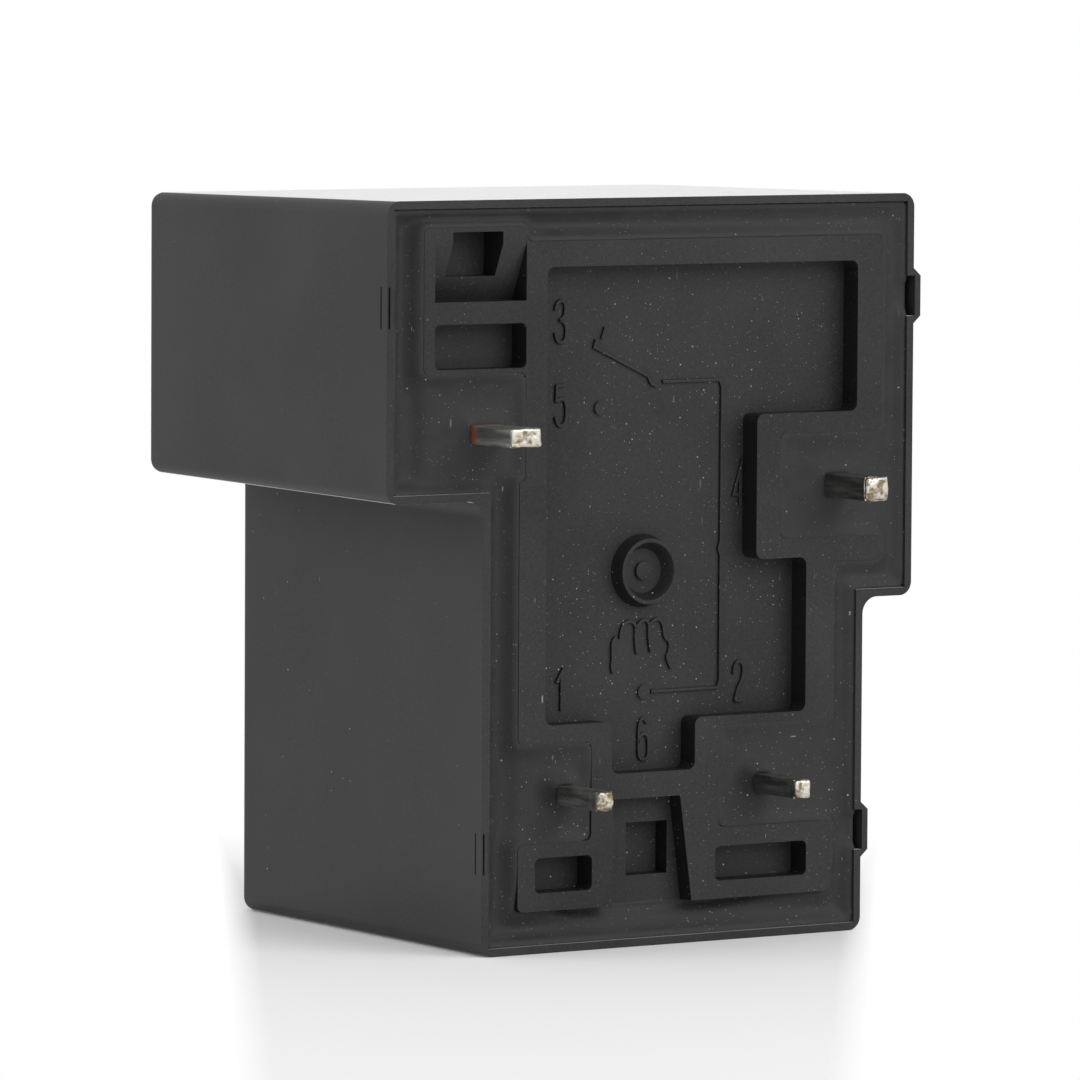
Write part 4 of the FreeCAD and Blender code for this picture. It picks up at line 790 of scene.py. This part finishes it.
def tin_pin(name, metals, material):
    """The uneven coat of tin on one pin, from the resin to its tip."""
    middle, half = pin_end(name)
    half = half + Vector((metals.coat, 0.0, metals.coat))
    tip = PIN_SIDE - 0.5 * metals.coat
    form = bmesh.new()
    bmesh.ops.create_cube(form, size=1.0)
    bmesh.ops.scale(form, vec=(2.0 * half.x, COAT_FOOT - tip, 2.0 * half.z), verts=form.verts)
    bmesh.ops.translate(form, vec=(middle.x, (COAT_FOOT + tip) / 2.0, middle.z), verts=form.verts)
    along = [edge for edge in form.edges if abs(edge.verts[0].co.y - edge.verts[1].co.y) > MM]
    bmesh.ops.subdivide_edges(form, edges=along, cuts=24)
    ends = [edge for edge in form.edges if all(vert.co.y < tip + 0.01 * MM for vert in edge.verts)]
    corners = [edge for edge in form.edges if len(edge.link_faces) == 2
               and edge.calc_face_angle(0.0) > 1.0 and edge not in ends]
    bmesh.ops.bevel(form, geom=ends + corners, offset=0.36 * min(half.x, half.z), segments=3,
                    profile=0.5, affect="EDGES", material=-1)
    bmesh.ops.subdivide_edges(form, edges=form.edges, cuts=1, use_grid_fill=True)
    form.normal_update()
    moves = []
    for vert in form.verts:
        near_tip = max(0.0, 1.0 - (vert.co.y - tip) / LUMPY)
        push = noise.fractal(vert.co / LUMP_SIZE, 1.0, 2.0, 3)
        moves.append((vert, vert.normal * push * metals.lumps * (0.15 + 0.85 * near_tip)))
    for vert, move in moves:
        vert.co += move
        vert.co.y = max(vert.co.y, PIN_SIDE - metals.coat)
    bmesh.ops.recalc_face_normals(form, faces=form.faces)
    new_piece("tin_on_" + name, form, material)


# Spring


def bend_spring(material):
    """A copy of the contact spring at the origin, on no body yet, which stands for its node."""
    form = merged("contact_spring")
    piece = new_piece("bending_spring", form, material, smooth=False, body=None)
    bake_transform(piece)
    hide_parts("contact_spring")


# Stage


# The photograph's camera: azimuth, elevation and roll in degrees
SIGHT = (-33.31540507, 4.26554343, 0.32120501)
# Its focal length and the picture's width in pixels
FOCAL, PICTURE = 8310.568, 1080.0
# The point that it looks at, its distance from there, and its shift to the right and up
TARGET = Vector((0.0, -0.05 * MM, 16.0 * MM))
DISTANCE, RIGHT_SHIFT, UP_SHIFT = 364.8836546 * MM, 0.58544737 * MM, 0.84331644 * MM


def aim_camera():
    """The photograph's camera: a long lens slightly above the pin side's left corner."""
    azimuth, elevation, roll = (math.radians(value) for value in SIGHT)
    back = Vector((math.sin(azimuth) * math.cos(elevation),
                   -math.cos(azimuth) * math.cos(elevation), math.sin(elevation)))
    right = Vector((math.cos(azimuth), math.sin(azimuth), 0.0))
    up = back.cross(right)
    turned_right = math.cos(roll) * right + math.sin(roll) * up
    turned_up = math.cos(roll) * up - math.sin(roll) * right
    data = bpy.data.cameras.new("camera")
    data.sensor_width = 36.0
    data.lens = FOCAL * data.sensor_width / PICTURE
    data.clip_start, data.clip_end = 0.01, 100.0
    camera = bpy.data.objects.new("camera", data)
    bpy.context.scene.collection.objects.link(camera)
    spot = TARGET + back * DISTANCE + right * RIGHT_SHIFT + up * UP_SHIFT
    turn = Matrix((turned_right, turned_up, back)).transposed().to_4x4()
    camera.matrix_world = Matrix.Translation(spot) @ turn
    bpy.context.scene.camera = camera


def seen(tree):
    """1 for camera, glossy and transmission rays."""
    path = add(tree, "ShaderNodeLightPath")
    rays = reckon(tree, "MAXIMUM", path.outputs["Is Camera Ray"], path.outputs["Is Glossy Ray"])
    return reckon(tree, "MAXIMUM", rays, path.outputs["Is Transmission Ray"])


def light_world(stage):
    """A white surrounding that is seen as pure white."""
    world = bpy.data.worlds.new("surrounding")
    world.use_nodes = True
    bpy.context.scene.world = world
    tree = world.node_tree
    background = tree.nodes["Background"]
    background.inputs["Color"].default_value = (1.0, 1.0, 1.0, 1.0)
    wire(tree, ranged(tree, seen(tree), stage.sky, 1.0, 0.0, 1.0), background.inputs["Strength"])


# Radius of the floor in metres
FLOOR_RADIUS = 14.0
# The strip of shade before the relay: its turn in degrees, and its middle right of the origin
STRIP_TURN = 33.3
STRIP_MIDDLE = 1.1 * MM


def lay_floor(stage):
    """A wide pale floor that keeps the relay's shadow and turns pure white away from it."""
    form = bmesh.new()
    bmesh.ops.create_circle(form, cap_ends=True, segments=96, radius=FLOOR_RADIUS)
    floor = bpy.data.objects.new("floor", to_mesh("floor", form))
    bpy.context.scene.collection.objects.link(floor)
    material, tree, shader, place = new_finish("pale_floor", 0.7, 0.0, 0.2)
    cloud = mottle(tree, place, 0.3)
    shade = between(tree, cloud, times(stage.floor, 0.99), stage.floor)
    wire(tree, shade, shader.inputs["Base Color"])
    glow = add(tree, "ShaderNodeEmission", {"Color": (1.0, 1.0, 1.0, 1.0), "Strength": 1.0})
    turn = {"Location": (-STRIP_MIDDLE, 0.0, 0.0), "Rotation": (0.0, 0.0, math.radians(STRIP_TURN))}
    turned = mapped(tree, place, turn)
    away = away_from(tree, turned, (0.0, -stage.ahead, 0.0))
    parts = axes(tree, turned)
    aside = reckon(tree, "ABSOLUTE", parts["X"], 0.0)
    aside = reckon(tree, "SUBTRACT", aside, reckon(tree, "MULTIPLY", parts["Y"], stage.taper))
    aside = rising(tree, aside, stage.strip - MM, stage.strip + 0.4 * MM)
    white = reckon(tree, "MAXIMUM", rising(tree, away, stage.keep, stage.fade), aside)
    blend = add(tree, "ShaderNodeMixShader")
    wire(tree, reckon(tree, "MULTIPLY", seen(tree), white), blend.inputs["Fac"])
    wire(tree, shader.outputs["BSDF"], blend.inputs[1])
    wire(tree, glow.outputs["Emission"], blend.inputs[2])
    wire(tree, blend.outputs["Shader"], tree.nodes["Material Output"].inputs["Surface"])
    floor.data.materials.append(material)


# Places of the two soft lights and their size
KEY_SPOT = Vector((0.16, -0.46, 0.34))
FILL_SPOT = Vector((-0.5, 0.16, 0.3))
LIGHT_SIZE = (0.5, 0.4)


def hang_light(name, watts, spot):
    """A large soft light that shines from a spot onto the relay."""
    data = bpy.data.lights.new(name, "AREA")
    data.shape = "RECTANGLE"
    data.size, data.size_y = LIGHT_SIZE
    data.energy = watts
    light = bpy.data.objects.new(name, data)
    turn = spot.to_track_quat("Z", "Y").to_matrix().to_4x4()
    light.matrix_world = Matrix.Translation(spot) @ turn
    bpy.context.scene.collection.objects.link(light)


# Operators


class RELAY_OT_stage(bpy.types.Operator):
    """Adds the floor, the lights, the surrounding and the camera."""

    bl_idname = "relay.stage"
    bl_label = "Set the stage"

    def execute(self, context):
        stage = context.scene.relay_stage
        context.scene.view_settings.view_transform = "Standard"
        aim_camera()
        light_world(stage)
        lay_floor(stage)
        hang_light("key_light", stage.key, KEY_SPOT)
        hang_light("fill_light", stage.fill, FILL_SPOT)
        return {"FINISHED"}


class RELAY_OT_case(bpy.types.Operator):
    """Gives the cover and the base their moulded plastic."""

    bl_idname = "relay.case"
    bl_label = "Finish the case"

    def execute(self, context):
        plastic, dust = context.scene.relay_plastic, context.scene.relay_dust
        case = moulded("case_plastic_finish", plastic.case, plastic, dust, 0.4, 0.1)
        base = moulded("base_plastic_finish", plastic.base, plastic, dust, 1.0, 0.2, plastic.walls)
        paint(case, "cover")
        paint(base, "base")
        soft_edged("cover", case, plastic.edge, plastic.outer)
        soft_edged("base", base, plastic.base_edge)
        return {"FINISHED"}


class RELAY_OT_marks(bpy.types.Operator):
    """Raises the numbers and the contact diagram in the recess."""

    bl_idname = "relay.marks"
    bl_label = "Raise the marks"

    def execute(self, context):
        base = NODES["base"].material_slots[0].material
        raise_marks(context.scene.relay_marks, base)
        return {"FINISHED"}


class RELAY_OT_resin(bpy.types.Operator):
    """Pours the resin inside the rim."""

    bl_idname = "relay.resin"
    bl_label = "Pour the resin"

    def execute(self, context):
        pour_resin(context.scene.relay_resin, context.scene.relay_dust)
        return {"FINISHED"}


class RELAY_OT_pins(bpy.types.Operator):
    """Tins the four pins."""

    bl_idname = "relay.pins"
    bl_label = "Tin the pins"

    def execute(self, context):
        metals = context.scene.relay_metal
        finishes = {
            "coil_pin_1": tin_finish(metals, "stained_tin_finish", stained=1.0, pale=0.5),
            "coil_pin_2": tin_finish(metals, "dull_tin_finish", stained=0.7, pale=0.35),
            "common_terminal": tin_finish(metals, "pale_tin_finish", stained=0.5, pale=0.32),
            "open_terminal": tin_finish(metals, "rusty_tin_finish", stained=0.2, pale=1.0,
                                        rusty=True),
        }
        for name, finish in finishes.items():
            tin_pin(name, metals, finish)
            paint(finish, name)
        return {"FINISHED"}


class RELAY_OT_magnet(bpy.types.Operator):
    """Gives the coil, the core and the iron pieces their finishes."""

    bl_idname = "relay.magnet"
    bl_label = "Finish the magnet"

    def execute(self, context):
        plastic, dust = context.scene.relay_plastic, context.scene.relay_dust
        paint(moulded("bobbin_finish", (0.06, 0.06, 0.062), plastic, dust, 0.3, 0.4), "bobbin")
        wire_finish = wound("winding_finish", (0.62, 0.27, 0.12), 0.12 * MM)
        paint(wire_finish, "coil_winding", "coil_lead_1", "coil_lead_2")
        paint(film("tape_finish", (0.75, 0.6, 0.15)), "coil_tape")
        iron = metal("nickel_finish", (0.5, 0.5, 0.48), (0.58, 0.58, 0.55), (0.3, 0.42),
                     0.15 * MM, 0.003 * MM, (1.0, 1.0, 0.3))
        paint(iron, "core", "yoke", "armature")
        return {"FINISHED"}


class RELAY_OT_contacts(bpy.types.Operator):
    """Gives the spring, the rivets, the contacts and the solder their finishes."""

    bl_idname = "relay.contacts"
    bl_label = "Finish the contacts"

    def execute(self, context):
        bronze = metal("bronze_finish", (0.6, 0.36, 0.2), (0.76, 0.5, 0.3), (0.22, 0.38),
                       0.3 * MM, 0.003 * MM, (1.0, 1.0, 0.12))
        steel = metal("rivet_finish", (0.4, 0.4, 0.4), (0.56, 0.56, 0.56), (0.3, 0.5),
                      0.25 * MM, 0.006 * MM)
        silver = metal("silver_finish", (0.68, 0.67, 0.63), (0.84, 0.83, 0.8), (0.3, 0.5),
                       0.2 * MM, 0.006 * MM)
        solder = metal("solder_finish", (0.42, 0.42, 0.43), (0.66, 0.66, 0.66), (0.25, 0.5),
                       0.3 * MM, 0.02 * MM)
        paint(bronze, "contact_spring")
        bend_spring(bronze)
        paint(steel, "armature_rivets", "yoke_rivets", "backstop")
        paint(silver, "moving_contact", "fixed_contact")
        paint(solder, "coil_solder")
        return {"FINISHED"}


class RELAY_PT_parts(bpy.types.Panel):
    """Lists what finishes the relay."""

    bl_label = "Relay"
    bl_idname = "RELAY_PT_parts"
    bl_space_type = "VIEW_3D"
    bl_region_type = "UI"
    bl_category = "Relay"

    def draw(self, context):
        for operator in OPERATORS:
            self.layout.operator(operator.bl_idname)
        for name in GROUPS:
            settings = getattr(context.scene, name)
            for key in settings.__annotations__:
                self.layout.prop(settings, key)


GROUPS = {"relay_plastic": RelayPlastic, "relay_resin": RelayResin, "relay_metal": RelayMetal,
          "relay_marks": RelayMarks, "relay_dust": RelayDust, "relay_stage": RelayStage}
OPERATORS = (RELAY_OT_stage, RELAY_OT_case, RELAY_OT_marks, RELAY_OT_resin, RELAY_OT_pins,
             RELAY_OT_magnet, RELAY_OT_contacts)


def register():
    """Registers the settings, the operators and the panel."""
    for kind in (*GROUPS.values(), *OPERATORS, RELAY_PT_parts):
        bpy.utils.register_class(kind)
    for name, kind in GROUPS.items():
        setattr(bpy.types.Scene, name, PointerProperty(type=kind))


def unregister():
    """Takes away what register added."""
    for name in GROUPS:
        delattr(bpy.types.Scene, name)
    for kind in (*GROUPS.values(), *OPERATORS, RELAY_PT_parts):
        bpy.utils.unregister_class(kind)


def main():
    """Builds the looks in order."""
    register()
    bpy.ops.relay.stage()
    bpy.ops.relay.case()
    bpy.ops.relay.marks()
    bpy.ops.relay.resin()
    bpy.ops.relay.pins()
    bpy.ops.relay.magnet()
    bpy.ops.relay.contacts()


if __name__ == "__main__":
    main()
